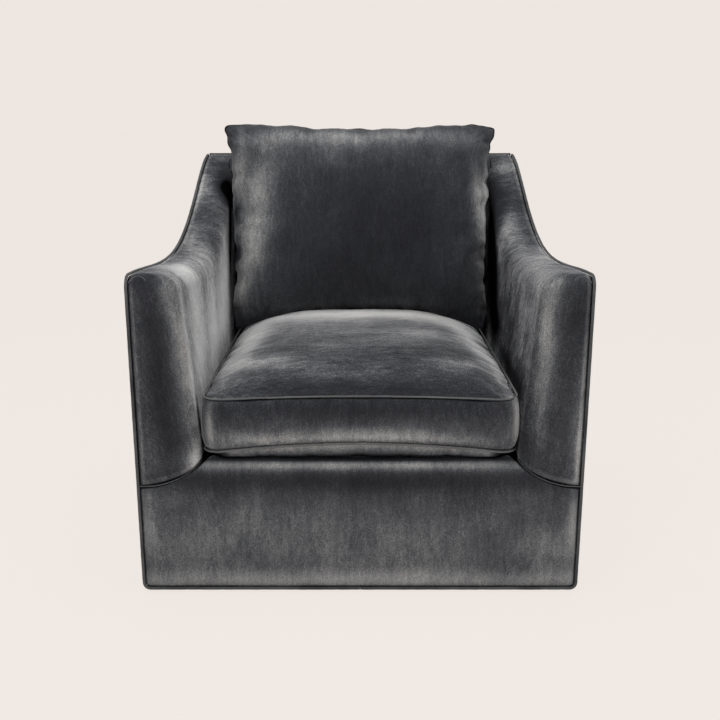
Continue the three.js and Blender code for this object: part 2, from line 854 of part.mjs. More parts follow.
function addFrame() {
  addPair('front_post', frontPost(), timber);
  addPair('back_post', backPost(), timber);
  addPair('arm_board', armBoard(), timber);
  addPair('base_side_rail', baseSideRail(), timber);
  addPair('seat_side_rail', seatSideRail(), timber);
  addPair('arm_lining', armLining(), board);
  addPair('front_corner_block', cornerBlock(framePlaneY + railThickness + gap, 1), timber);
  addPair('rear_corner_block', cornerBlock(frameRear(frameBase) - railThickness - gap, -1), timber);
  addCrossRails();
}

// Piping: along the front hem, up the front edge, over the arm, up the wing and down the rear edge

function sidePiping() {
  const hem = hemHeight + pipingRadius;
  const edge = (y, z) => new THREE.Vector3(outerX(y, z) - pipingDepth, y, z);
  const face = frontY + pipingDepth;
  const cornerX = edge(face, hem + hemCornerRound).x - hemCornerRound;
  const cornerMiddle = [cornerX, hem + hemCornerRound];
  const hemCorner = cornerPoints(cornerMiddle, hemCornerRound, -Math.PI / 2, 0, 5)
    .map(([x, z]) => new THREE.Vector3(x, face, z));
  const over = wingOutline(pipingDepth, hem).map(([y, z]) => edge(y, z));
  const start = new THREE.Vector3(pipingGap / 2, face, hem);
  return tube([start, ...hemCorner, ...over], pipingRadius, 6);
}

function backPiping() {
  const [y, z] = [rearPlane(backHeight) - pipingDepth, backHeight - pipingDepth];
  const end = outerX(y, z) - seamInset;
  return tube([new THREE.Vector3(-end, y, z), new THREE.Vector3(end, y, z)], pipingRadius, 8);
}

// Seat cushion

const seatFrontY = frontY + seatFrontSetback;
const seatRearY = backFootY - seatRearGap;
const seatMiddleY = (seatFrontY + seatRearY) / 2;
const seatHalf = (y) => deckHalf(y) - seatSideGap;

function seatOutline(inset) {
  const [front, rear] = [seatFrontY + inset, seatRearY - inset];
  const [frontRound, rearRound] = [seatFrontCorner - inset, seatRearCorner - inset];
  const right = Math.PI / 2;
  const shares = [0.25, 0.5, 0.75];
  const frontX = seatHalf(front) - inset - frontRound;
  const rearX = seatHalf(rear) - inset - rearRound;
  const sideRun = rear - rearRound - front - frontRound;
  const rightHalf = [
    ...shares.map((share) => [share * frontX, front]),
    ...cornerPoints([frontX, front + frontRound], frontRound, -right, 0, 4),
    ...shares.map((share) => {
      const y = front + frontRound + share * sideRun;
      return [seatHalf(y) - inset, y];
    }),
    ...cornerPoints([rearX, rear - rearRound], rearRound, 0, right, 3),
    ...[...shares].reverse().map((share) => [share * rearX, rear]),
  ];
  const leftHalf = rightHalf.map(([x, y]) => [-x, y]).reverse();
  return [[0, rear], ...leftHalf, [0, front], ...rightHalf];
}

function seatRing(inset, share, swell, height) {
  return seatOutline(inset).map(([x, y]) => {
    const scale = share + swell / Math.hypot(x, y - seatMiddleY);
    const [atX, atY] = [x * scale, seatMiddleY + (y - seatMiddleY) * scale];
    return new THREE.Vector3(atX, atY, height(atX, atY));
  });
}

const seatBottom = deckHeight + gap;
const seatArch = (x) => 1 - (x / seatHalf(seatFrontY)) ** 2;
const seatLower = (x) => deckHeight + seatLowerRise + seatLowerArch * seatArch(x);

// Upper seam of the boxing, which sinks a little to the rear under the back cushion.
function seatUpper(x, y) {
  const sunk = seatRearDrop * ((y - seatFrontY) / (seatRearY - seatFrontY));
  return deckHeight + seatPipingRise + seatPipingArch * seatArch(x) - sunk;
}

// Crowned top of the seat cushion.
function seatTop(x, y) {
  const [u, v] = [Math.abs(x) / seatHalf(y), Math.abs(y - seatMiddleY) / (seatRearY - seatMiddleY)];
  const full = u < 1 && v < 1 ? (1 - u ** seatCrownPower) * (1 - v ** seatCrownPower) : 0;
  return seatUpper(x, y) + seatCrown * full;
}

// Shares of the outline for the rings of the seat cushion, finely for its cover and coarsely for its core.
const coverShares = {
  under: [0.4, 0.72, 0.86, 0.95], side: [0, 0.25, 0.5, 0.75, 1], crown: [0.96, 0.88, 0.74, 0.52, 0.26],
};
const coreShares = { under: [0.72, 0.95], side: [0, 0.5, 1], crown: [0.96, 0.88, 0.74, 0.52] };

// Crowned top, swelling sides and a rounded underside that rests flat on the deck.
// The two edges of the boxing are cut back where the piping lies.
function seatForm(inset, shares, cut) {
  const flatShare = 0.72;
  const rings = shares.under.map((share) => {
    const lift = Math.max(0, (share - flatShare) / (1 - flatShare)) ** 2;
    return seatRing(inset, share, 0, (x) => seatBottom + inset + lift * (seatLower(x) - seatBottom));
  });
  if (cut > 0) rings.push(seatRing(inset, 1, -cut, seatLower));
  shares.side.forEach((share) => {
    const swell = 4 * share * (1 - share) * seatBulge;
    const margin = inset + cut;
    rings.push(seatRing(inset, 1, swell, (x, y) => {
      const run = seatUpper(x, y) - seatLower(x) - 2 * margin;
      return seatLower(x) + margin + share * run;
    }));
  });
  if (cut > 0) rings.push(seatRing(inset, 1, -cut, seatUpper));
  shares.crown.forEach((share) => {
    rings.push(seatRing(inset, share, 0, (x, y) => seatTop(x, y) - inset));
  });
  return loft(rings);
}

// Piping in the cut edge of the boxing, joined with a butt at the rear.
function seatPiping(line) {
  const out = cushionPipingRadius + gap - seamCut * Math.SQRT1_2;
  const ring = seatRing(0, 1, out * Math.SQRT1_2, line);
  const [first, second, last] = [ring[0], ring[1], ring[ring.length - 1]];
  const start = first.clone().lerp(second, pipingGap / first.distanceTo(second));
  const end = first.clone().lerp(last, pipingGap / first.distanceTo(last));
  return tube([start, ...ring.slice(1), end], cushionPipingRadius, 6);
}

// Zip slider with its pull, on a tape that faces outward.
function slider(place, outward) {
  const body = box(
    -sliderLength / 2, sliderLength / 2, 0, sliderHeight, -sliderWidth / 2, sliderWidth / 2,
  );
  const pull = box(
    -pullWidth / 2, pullWidth / 2, sliderHeight - pullThickness, sliderHeight, -pullLength, 0,
  );
  const up = new THREE.Vector3().crossVectors(alongX, outward);
  const matrix = new THREE.Matrix4().makeBasis(alongX, outward, up).setPosition(place);
  return solidOf(geometryOf(body.add(pull)).applyMatrix4(matrix));
}

function addSeatCushion() {
  const out = cushionPipingRadius * Math.SQRT1_2;
  const middle = (seatUpper(0, seatRearY) + seatLower(0)) / 2;
  const face = seatRearY + seatBulge;
  const slot = (grow, depth) => box(
    -seatZipLength / 2 - grow, seatZipLength / 2 + grow, face - depth, face + depth,
    middle - zipWidth / 2 - grow, middle + zipWidth / 2 + grow,
  );
  const shell = seatForm(0, coverShares, seamCut).subtract(seatForm(cushionWall, coverShares, 0));
  addPiece('seat_cushion_cover', shell.subtract(slot(gap, 2 * cushionWall)), velvet);
  addPiece('seat_cushion_core', seatForm(cushionWall + gap, coreShares, 0), foam);
  addPiece('seat_cushion_upper_piping', seatPiping((x, y) => seatUpper(x, y) + out / 2), piping);
  addPiece('seat_cushion_lower_piping', seatPiping((x) => seatLower(x) - out / 2), piping);
  const tapeRear = face - zipRecess;
  const tape = box(-chairWidth, chairWidth, tapeRear - zipThickness, tapeRear, 0, backHeight);
  addPiece('seat_cushion_zip', slot(0, overrun).intersect(tape), nylon);
  const start = new THREE.Vector3(seatZipLength / 2 - sliderLength, tapeRear + gap, middle);
  addPiece('seat_zip_slider', slider(start, alongY), zinc);
}

// Back cushion: two bulging faces that meet in a knife edge, with ears at the top corners

const pillowShares = [0.3, 0.55, 0.76, 0.9, 0.97];
const pillowCoreShares = [0.55, 0.76, 0.9, 0.97];
const pillowUp = new THREE.Vector3(0, pillowRakeShare, 1).normalize();
const pillowOut = new THREE.Vector3(0, -1, pillowRakeShare).normalize();
const pillowHalfWidth = deckHalf(backFootY) - pillowSideGap;
const pillowMiddle = new THREE.Vector3(0, backFootY - pillowRear, deckHeight + pillowHalfHeight);

const pillowRearFace = (inset) => (a, b) => (
  -(pillowRear - inset) * Math.sqrt((1 - a ** 6) * (1 - b ** 4))
);
const pillowFrontFace = (inset) => (a, b) => (
  (pillowFront - inset) * Math.sqrt((1 - Math.abs(a) ** 3) * (1 - b ** 4))
);

function pillowPoint(across, up, out) {
  return pillowMiddle.clone().addScaledVector(alongX, across)
    .addScaledVector(pillowUp, up).addScaledVector(pillowOut, out);
}

// Shares of the half width and half height, one list for each ring around the pillow.
function pillowSquareShares(ringShare) {
  const sideSteps = 9;
  const corners = [[1, -1], [1, 1], [-1, 1], [-1, -1]];
  return corners.flatMap(([a, b], side) => {
    const [nextA, nextB] = corners[(side + 1) % corners.length];
    const points = [];
    for (let i = 0; i < sideSteps; i += 1) {
      const share = i / sideSteps;
      points.push([ringShare * (a + share * (nextA - a)), ringShare * (b + share * (nextB - b))]);
    }
    return points;
  });
}

// Point on the front or the rear face of the pillow, at shares of its half width and half height.
function pillowSurface(inset, a, b, bulge) {
  const edge = 3 * inset;
  const ear = b > 0 ? pillowEar * b ** 6 : 0;
  const sag = b > 0 ? pillowSag * (1 - a ** 2) * b : 0;
  const arch = b < 0 ? pillowArch * (1 - a ** 4) * -b : 0;
  const up = b * (pillowHalfHeight - edge) - sag + arch;
  return pillowPoint(a * (pillowHalfWidth - edge + ear), up, bulge(a, b));
}

function pillowRings(inset, shares) {
  const ring = (share, bulge) => pillowSquareShares(share).map(([a, b]) => (
    pillowSurface(inset, a, b, bulge)
  ));
  return [
    ...shares.map((share) => ring(share, pillowRearFace(inset))), ring(1, () => 0),
    ...[...shares].reverse().map((share) => ring(share, pillowFrontFace(inset))),
  ];
}

// Settles the cushion on the crown and the piping of the seat cushion and against the inside back.
function settlePillow() {
  const seam = 2 * cushionPipingRadius;
  const passes = 4;
  for (let pass = 0; pass < passes; pass += 1) {
    const points = pillowRings(0, pillowShares).flat();
    const rise = Math.max(...points.map((point) => {
      const under = Math.max(seatTop(point.x, point.y), seatUpper(point.x, point.y) + seam);
      return under - point.z;
    }));
    pillowMiddle.z += rise + pillowRestGap;
    const moved = pillowRings(0, pillowShares).flat();
    const past = Math.max(...moved.map((point) => point.y - backPlane(point.z)));
    pillowMiddle.y -= past + gap * Math.hypot(1, backRakeShare);
  }
}

function pillowForm(inset, shares) {
  return loft(pillowRings(inset, shares));
}

// Block in the frame of the pillow, between two places on each of its axes.
function pillowBlock(across, up, out) {
  const ring = (y) => [[0, 0], [1, 0], [1, 1], [0, 1]].map(([i, j]) => pillowPoint(across[i], y, out[j]));
  return loft([ring(up[0]), ring(up[1])]);
}

// The zip lies on the flat run between two rings of the rear face, low on the cushion.
function addBackCushion() {
  settlePillow();
  const [above, below] = pillowShares.slice(1, 3)
    .map((share) => pillowSurface(zipRecess, 0, -share, pillowRearFace(zipRecess)));
  const middle = above.clone().add(below).multiplyScalar(1 / 2);
  const zipUp = middle.clone().sub(pillowMiddle).dot(pillowUp);
  const window = (grow) => pillowBlock(
    [-backZipLength / 2 - grow, backZipLength / 2 + grow],
    [zipUp - zipWidth / 2 - grow, zipUp + zipWidth / 2 + grow], [-2 * pillowRear, 0],
  );
  const skin = (inset) => pillowForm(inset, pillowShares);
  const shell = skin(0).subtract(skin(pillowWall));
  addPiece('back_cushion_cover', shell.subtract(window(gap)), velvet);
  addPiece('back_cushion_core', pillowForm(pillowWall + gap, pillowCoreShares), feather);
  const tape = skin(zipRecess).subtract(skin(zipRecess + zipThickness));
  addPiece('back_cushion_zip', tape.intersect(window(0)), nylon);
  const outward = new THREE.Vector3().crossVectors(above.sub(below).normalize(), alongX);
  const start = middle.addScaledVector(outward, gap);
  start.x = backZipLength / 2 - sliderLength;
  addPiece('back_zip_slider', slider(start, outward), zinc);
}

addFrame();
addSprings();
addWebbing();
addGlides();
addPads();
addCovers();
addPair('side_piping', sidePiping(), piping);
addPiece('back_piping', backPiping(), piping);
addSeatCushion();
addBackCushion();

export default chair;
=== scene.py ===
"""Looks of an upholstered armchair: velvet covers, stuffed cushions, welts, the timber frame and a studio."""

import logging
import math
from dataclasses import dataclass, field
from enum import Enum
from typing import Any, Iterable, Sequence

import bpy
import numpy as np
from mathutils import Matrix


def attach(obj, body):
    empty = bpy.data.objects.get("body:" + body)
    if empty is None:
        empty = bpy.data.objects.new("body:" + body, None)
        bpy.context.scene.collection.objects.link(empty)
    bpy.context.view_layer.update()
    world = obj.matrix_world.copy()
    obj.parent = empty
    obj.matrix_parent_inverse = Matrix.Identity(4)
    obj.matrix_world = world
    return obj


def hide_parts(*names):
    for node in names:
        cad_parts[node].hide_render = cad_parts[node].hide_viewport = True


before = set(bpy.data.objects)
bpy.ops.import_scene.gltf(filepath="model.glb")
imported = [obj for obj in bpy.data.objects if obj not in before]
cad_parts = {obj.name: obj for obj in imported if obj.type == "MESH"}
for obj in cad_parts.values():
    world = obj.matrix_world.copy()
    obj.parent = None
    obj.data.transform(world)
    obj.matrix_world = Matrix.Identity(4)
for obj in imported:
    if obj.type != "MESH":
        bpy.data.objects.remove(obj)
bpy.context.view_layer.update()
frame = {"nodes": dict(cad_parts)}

log = logging.getLogger("chair")

Array = np.ndarray
Colour = tuple[float, float, float, float]
Point = tuple[float, float, float]

HASH_PRIMES = (73856093, 19349663, 83492791)
HASH_SEED, HASH_STEP, HASH_MASK = 40503, 1274126177, 0x7FFFFFFF
WELDS_PER_METRE, WELD_OFFSET = 2e4, 0.137


# Numbers and fields


def eased(value: Array | float, low: float, high: float) -> Array:
    """Smooth step from 0 to 1.

    Args:
        value: where the step is read.
        low: value at which the step starts.
        high: value at which the step ends.

    Returns:
        The step at each value.
    """
    share = np.clip((np.asarray(value, float) - low) / (high - low), 0, 1)
    return share * share * (3 - 2 * share)


def bell(distance: Array, width: float) -> Array:
    """Bell curve: 1 at no distance, fading over a width."""
    return np.exp(-((distance / width) ** 2))


def soft_noise(points: Array, size: float, seed: int) -> Array:
    """Smooth random field.

    Args:
        points: places, three numbers in the last axis.
        size: width of one swell, in metres.
        seed: number that picks the field.

    Returns:
        A value between -1 and 1 at each place.
    """
    scaled = points / size
    cell = np.floor(scaled).astype(np.int64)
    part = scaled - cell
    part = part * part * (3 - 2 * part)
    total = np.zeros(points.shape[:-1])
    for corner in range(8):
        step = np.array([corner & 1, corner >> 1 & 1, corner >> 2 & 1])
        at = cell + step
        first, second, third = (at[..., k] * prime for k, prime in enumerate(HASH_PRIMES))
        mixed = (first ^ second ^ third ^ (seed * HASH_SEED)) & HASH_MASK
        mixed = ((mixed ^ (mixed >> 13)) * HASH_STEP) & HASH_MASK
        weight = np.prod(np.where(step, part, 1 - part), axis=-1)
        total += (mixed / 0x3FFFFFFF - 1) * weight
    return total


def unit(vectors: Array) -> Array:
    """Vectors of length 1, along the last axis."""
    return vectors / np.maximum(np.linalg.norm(vectors, axis=-1, keepdims=True), 1e-12)


@dataclass(frozen=True)
class Stroke:
    """A soft mark on a surface: a brushed streak of the pile, a patch of painted light, a patch of painted shade, or
    a crease.
    """

    at: Point
    along: Point
    length: float
    width: float
    amount: float

    def on(self, points: Array) -> Array:
        """Strength of the mark.

        Args:
            points: places, three numbers in the last axis.

        Returns:
            The amount at each place.
        """
        way = unit(np.array(self.along, float))
        off = points - np.array(self.at, float)
        run = off @ way
        wide = np.linalg.norm(off - run[..., None] * way, axis=-1)
        return self.amount * np.exp(-((run / self.length) ** 2) - (wide / self.width) ** 2)


def strokes_on(points: Array, strokes: Iterable[Stroke]) -> Array:
    """Sum of the marks at each place."""
    return sum((stroke.on(points) for stroke in strokes), np.zeros(points.shape[:-1]))


# Meshes


def facings(points: Array, faces: Array) -> Array:
    """Direction that each four-cornered face looks in, as long as twice its area."""
    corner = points[faces]
    return np.cross(corner[:, 2] - corner[:, 0], corner[:, 3] - corner[:, 1])


def run_along(line: Array) -> Array:
    """Distance of each point from the first, along the line."""
    return np.concatenate([[0], np.cumsum(np.linalg.norm(np.diff(line, axis=0), axis=1))])


@dataclass
class Patch:
    """Rows and columns of points on one face of a cover, with what its cloth needs to know at each."""

    points: Array
    lay: Array
    edge: Array
    outward: Point

    def quads(self, start: int) -> Array:
        """Faces of the patch, turned outward.

        Args:
            start: number of the patch's first point in the whole mesh.

        Returns:
            Four point numbers a face.
        """
        rows, cols = self.points.shape[:2]
        index = np.arange(rows * cols).reshape(rows, cols) + start
        faces = np.stack([index[:-1, :-1], index[:-1, 1:], index[1:, 1:], index[1:, :-1]], -1).reshape(-1, 4)
        facing = facings(self.points.reshape(-1, 3), faces - start)
        if (facing @ np.array(self.outward, float)).sum() < 0:
            faces = faces[:, ::-1]
        return faces


@dataclass
class Skin:
    """One welded surface with its pile: how far each point is from a seam, and how the cloth lies there."""

    points: Array
    faces: Array
    lay: Array
    edge: Array
    nap: Array = field(default_factory=lambda: np.zeros(0))
    vivid: Array | float = 1.0

    @classmethod
    def of(cls, patches: Sequence[Patch]) -> "Skin":
        """Welds patches that share their borders.

        Args:
            patches: the faces of the cover.

        Returns:
            One surface.
        """
        faces, start = [], 0
        for patch in patches:
            faces.append(patch.quads(start))
            start += patch.points.shape[0] * patch.points.shape[1]
        points = np.concatenate([patch.points.reshape(-1, 3) for patch in patches])
        lay = np.concatenate([patch.lay.reshape(-1, 2) for patch in patches])
        edge = np.concatenate([patch.edge.reshape(-1) for patch in patches])
        key = np.round(points * WELDS_PER_METRE + WELD_OFFSET).astype(np.int64)
        _, first, inverse = np.unique(key, axis=0, return_index=True, return_inverse=True)
        joined = inverse.reshape(-1)[np.concatenate(faces)]
        whole = joined[:, [0, 1, 2, 3]] != joined[:, [1, 2, 3, 0]]
        return cls(points[first], joined[whole.all(1)], lay[first], edge[first])

    def normals(self) -> Array:
        """Outward direction at each point.

        Returns:
            Vectors of length 1.
        """
        facing = facings(self.points, self.faces)
        total = np.zeros_like(self.points)
        for k in range(4):
            np.add.at(total, self.faces[:, k], facing)
        return unit(total)

    def push(self, amount: Array) -> "Skin":
        """Moves each point along its outward direction by an amount in metres."""
        self.points = self.points + self.normals() * np.asarray(amount)[..., None]
        return self

    def tuck(self, depth: float, width: float, puff: float = 0.0, reach: float = 0.03) -> "Skin":
        """Draws the cloth into its seams and lets it swell between them.

        Args:
            depth: how far the edge sinks.
            width: how wide the sunk strip is.
            puff: how far the middle stands proud.
            reach: distance from the seam over which the cloth swells.

        Returns:
            The surface itself.
        """
        sink = depth * bell(self.edge, width)
        return self.push(puff * (1 - bell(self.edge, reach)) - sink)

    def links(self) -> tuple[Array, Array]:
        """Both ends of every edge, each edge once in each direction.

        Returns:
            Numbers of the points at the first ends and at the second ends.
        """
        ring = np.concatenate([self.faces[:, [k, (k + 1) % 4]] for k in range(4)])
        both = np.unique(np.concatenate([ring, ring[:, ::-1]]), axis=0)
        return both[:, 0], both[:, 1]

    def calmed(self, values: Array, passes: int) -> Array:
        """Values spread out over the neighbours of each point.

        Args:
            values: numbers or vectors at the points.
            passes: how many times they are averaged.

        Returns:
            The smooth part of the values.
        """
        here, there = self.links()
        count = np.bincount(here, minlength=len(self.points))
        flat = values.reshape(len(values), -1)
        for _ in range(passes):
            near = np.stack([
                np.bincount(here, flat[there, k], minlength=len(flat)) for k in range(flat.shape[1])
            ], 1)
            flat = 0.4 * flat + 0.6 * near / count[:, None]
        return flat.reshape(values.shape)


def made_mesh(name: str, points: Array, faces: Iterable[Sequence[int]]) -> bpy.types.Object:
    """Blender object from points and faces.

    Args:
        name: name of the piece.
        points: places of its vertices.
        faces: vertex numbers of each face.

    Returns:
        The object, linked to the scene and shaded smooth.
    """
    mesh = bpy.data.meshes.new(name)
    rows = faces.tolist() if isinstance(faces, np.ndarray) else [list(face) for face in faces]
    mesh.from_pydata(points.tolist(), [], rows)
    mesh.polygons.foreach_set("use_smooth", [True] * len(mesh.polygons))
    mesh.update()
    piece = bpy.data.objects.new(name, mesh)
    bpy.context.scene.collection.objects.link(piece)
    return piece


def set_pile(piece: bpy.types.Object, nap: Array, lay: Array, edge: Array, vivid: Array | float = 1.0) -> None:
    """Stores on a mesh what its cloth material reads.

    Args:
        piece: the mesh object.
        nap: how light the cloth is at each vertex: brushed pile with painted light and shade.
        lay: place across and along the brush strokes at each vertex.
        edge: distance of each vertex from the nearest seam.
        vivid: how lively the pile is ruffled at each vertex.
    """
    mesh = piece.data
    for name, values in (("nap", nap), ("edge", edge), ("vivid", np.broadcast_to(vivid, len(nap)))):
        stored = mesh.attributes.new(name, "FLOAT", "POINT")
        stored.data.foreach_set("value", np.asarray(values, np.float32))
    way = mesh.attributes.new("lay", "FLOAT_VECTOR", "POINT")
    packed = np.zeros((len(lay), 3), np.float32)
    packed[:, : lay.shape[1]] = lay
    way.data.foreach_set("vector", packed.ravel())


def applied(piece: bpy.types.Object) -> bpy.types.Object:
    """Applies every modifier of a mesh object.

    Args:
        piece: the object.

    Returns:
        The same object, with its final mesh.
    """
    evaluated = piece.evaluated_get(bpy.context.evaluated_depsgraph_get())
    mesh = bpy.data.meshes.new_from_object(evaluated)
    piece.modifiers.clear()
    piece.data = mesh
    return piece


def thickened(piece: bpy.types.Object, depth: float) -> bpy.types.Object:
    """Gives a cover its padding, inward from its face.

    Args:
        piece: the mesh object.
        depth: thickness of cloth and padding.

    Returns:
        The same object, closed.
    """
    layer = piece.modifiers.new("padding", "SOLIDIFY")
    layer.thickness = depth
    layer.offset = -1
    return applied(piece)


def swept(path: Array, radius: float, sides: int, closed: bool) -> tuple[Array, list[list[int]], Array]:
    """Round cord along a path.

    Args:
        path: points of its middle line.
        radius: radius of the cord.
        sides: faces round the cord.
        closed: whether the cord meets its own start.

    Returns:
        Points, faces, and the place of each point round and along the cord.
    """
    ahead = np.roll(path, -1, 0) - np.roll(path, 1, 0)
    if not closed:
        ahead[0], ahead[-1] = path[1] - path[0], path[-1] - path[-2]
    ahead = unit(ahead)
    side = unit(np.cross(ahead[0], [0.0, 0.0, 1.0] if abs(ahead[0][2]) < 0.9 else [1.0, 0.0, 0.0]))
    frames = []
    for way in ahead:
        side = unit(side - way * (side @ way))
        frames.append((side, np.cross(way, side)))
    angles = np.arange(sides) * 2 * math.pi / sides
    rings = np.array([
        middle + radius * (np.cos(angles)[:, None] * a + np.sin(angles)[:, None] * b)
        for middle, (a, b) in zip(path, frames)
    ])
    count = len(path)
    faces = []
    for i in range(count if closed else count - 1):
        for k in range(sides):
            a, b = i * sides + k, i * sides + (k + 1) % sides
            c, d = ((i + 1) % count) * sides + (k + 1) % sides, ((i + 1) % count) * sides + k
            faces.append([a, b, c, d])
    if not closed:
        faces.append(list(range(sides))[::-1])
        faces.append([(count - 1) * sides + k for k in range(sides)])
    run = run_along(path)
    lay = np.stack([np.tile(angles * radius, count), np.repeat(run, sides)], 1)
    return rings.reshape(-1, 3), faces, lay


def evenly(path: Array, step: float, closed: bool = False) -> Array:
    """Path with points an even distance apart.

    Args:
        path: points of the path.
        step: distance between the new points.
        closed: whether the path returns to its start.

    Returns:
        The new points.
    """
    line = np.concatenate([path, path[:1]]) if closed else path
    run = run_along(line)
    count = max(int(round(run[-1] / step)), 2)
    places = np.linspace(0, run[-1], count + 1)
    fresh = np.stack([np.interp(places, run, line[:, k]) for k in range(3)], 1)
    return fresh[:-1] if closed else fresh


# Shader maths


class Sock:
    """A shader value or colour that takes part in Python expressions."""

    def __init__(self, desk: "Desk", socket: bpy.types.NodeSocket) -> None:
        """Wraps one output socket."""
        self.desk = desk
        self.socket = socket

    def joined(self, operation: str, first: Any, second: Any) -> "Sock":
        """Math node on two values.

        Args:
            operation: the Math node's operation.
            first: number or socket of the first input.
            second: number or socket of the second input.

        Returns:
            The node's output.
        """
        return self.desk.node("ShaderNodeMath", {"operation": operation}, {0: first, 1: second})

    def __add__(self, other: Any) -> "Sock":
        """Sum."""
        return self.joined("ADD", self, other)

    def __radd__(self, other: Any) -> "Sock":
        """Sum, reflected."""
        return self.joined("ADD", other, self)

    def __sub__(self, other: Any) -> "Sock":
        """Difference."""
        return self.joined("SUBTRACT", self, other)

    def __rsub__(self, other: Any) -> "Sock":
        """Difference, reflected."""
        return self.joined("SUBTRACT", other, self)

    def __mul__(self, other: Any) -> "Sock":
        """Product."""
        return self.joined("MULTIPLY", self, other)

    def __rmul__(self, other: Any) -> "Sock":
        """Product, reflected."""
        return self.joined("MULTIPLY", other, self)

    def __truediv__(self, other: Any) -> "Sock":
        """Quotient."""
        return self.joined("DIVIDE", self, other)

    def __rtruediv__(self, other: Any) -> "Sock":
        """Quotient, reflected."""
        return self.joined("DIVIDE", other, self)

    def __pow__(self, other: Any) -> "Sock":
        """Power."""
        return self.joined("POWER", self, other)

    def most(self, other: Any) -> "Sock":
        """The larger of two values."""
        return self.joined("MAXIMUM", self, other)

    def clamped(self) -> "Sock":
        """The value kept between 0 and 1."""
        return self.desk.node("ShaderNodeClamp", {}, {0: self})


class Desk:
    """The node tree of one material."""

    def __init__(self, name: str) -> None:
        """Starts an empty material of that name."""
        self.material = bpy.data.materials.new(name)
        self.material.use_nodes = True
        self.tree = self.material.node_tree
        self.tree.nodes.clear()

    def node(self, kind: str, settings: dict[str, Any], values: dict[Any, Any], output: Any = 0) -> Sock:
        """Adds a node.

        Args:
            kind: its type.
            settings: its own settings, set first; "stops" holds those of a ramp.
            values: numbers, colours or links of its input sockets.
            output: which of its outputs is wanted.

        Returns:
            That output.
        """
        made = self.tree.nodes.new(kind)
        for key, value in settings.items():
            if key == "stops":
                self._set_stops(made.color_ramp, value)
            else:
                setattr(made, key, value)
        for key, value in values.items():
            if isinstance(value, Sock):
                self.tree.links.new(value.socket, made.inputs[key])
            else:
                made.inputs[key].default_value = value
        return Sock(self, made.outputs[output])

    @staticmethod
    def _set_stops(ramp: bpy.types.ColorRamp, stops: Sequence[tuple[float, Colour]]) -> None:
        """Gives a ramp its stops.

        Args:
            ramp: the ramp.
            stops: place and colour of each.
        """
        while len(ramp.elements) > 1:
            ramp.elements.remove(ramp.elements[-1])
        ramp.elements[0].position, ramp.elements[0].color = stops[0]
        for place, colour in stops[1:]:
            ramp.elements.new(place).color = colour

    def ramp(self, factor: Sock, stops: Sequence[tuple[float, Colour]]) -> Sock:
        """Colours laid along a value."""
        return self.node("ShaderNodeValToRGB", {"stops": stops}, {0: factor})

    def attribute(self, name: str, vector: bool = False) -> Sock:
        """A value or vector stored on the mesh."""
        return self.node("ShaderNodeAttribute", {"attribute_name": name}, {}, 1 if vector else 2)

    def place(self) -> Sock:
        """Place on the object, in metres."""
        return self.node("ShaderNodeTexCoord", {}, {}, "Object")

    def stretched(self, vector: Sock, by: Point) -> Sock:
        """A vector scaled along its three axes."""
        return self.node("ShaderNodeVectorMath", {"operation": "MULTIPLY"}, {0: vector, 1: by})

    def noise(
        self, vector: Sock, scale: float, detail: float = 2.0, rough: float = 0.5, warp: float = 0.0,
    ) -> Sock:
        """Noise Texture.

        Args:
            vector: where it is read.
            scale: swells a metre.
            detail: octaves.
            rough: weight of the finer octaves.
            warp: distortion.

        Returns:
            A value around 0.5.
        """
        values = {"Vector": vector, "Scale": scale, "Detail": detail, "Roughness": rough, "Distortion": warp}
        return self.node("ShaderNodeTexNoise", {}, values)

    def bump(self, height: Sock, depth: float, strength: float = 1.0, under: Sock | None = None) -> Sock:
        """Bump from a height.

        Args:
            height: the height, 0 to 1.
            depth: metres that a height of 1 stands for.
            strength: share of the effect.
            under: a bump that this one lies on.

        Returns:
            A normal.
        """
        values: dict[str, Any] = {"Height": height, "Distance": depth, "Strength": strength}
        if under is not None:
            values["Normal"] = under
        return self.node("ShaderNodeBump", {}, values)

    def finish(self, values: dict[str, Any]) -> bpy.types.Material:
        """Ends the material in one Principled shader.

        Args:
            values: numbers, colours or links of the shader's sockets.

        Returns:
            The material.
        """
        shader = self.node("ShaderNodeBsdfPrincipled", {}, values)
        self.node_output(shader)
        return self.material

    def node_output(self, shader: Sock) -> None:
        """Links a shader to the material's surface."""
        made = self.tree.nodes.new("ShaderNodeOutputMaterial")
        self.tree.links.new(shader.socket, made.inputs["Surface"])


# Finishes


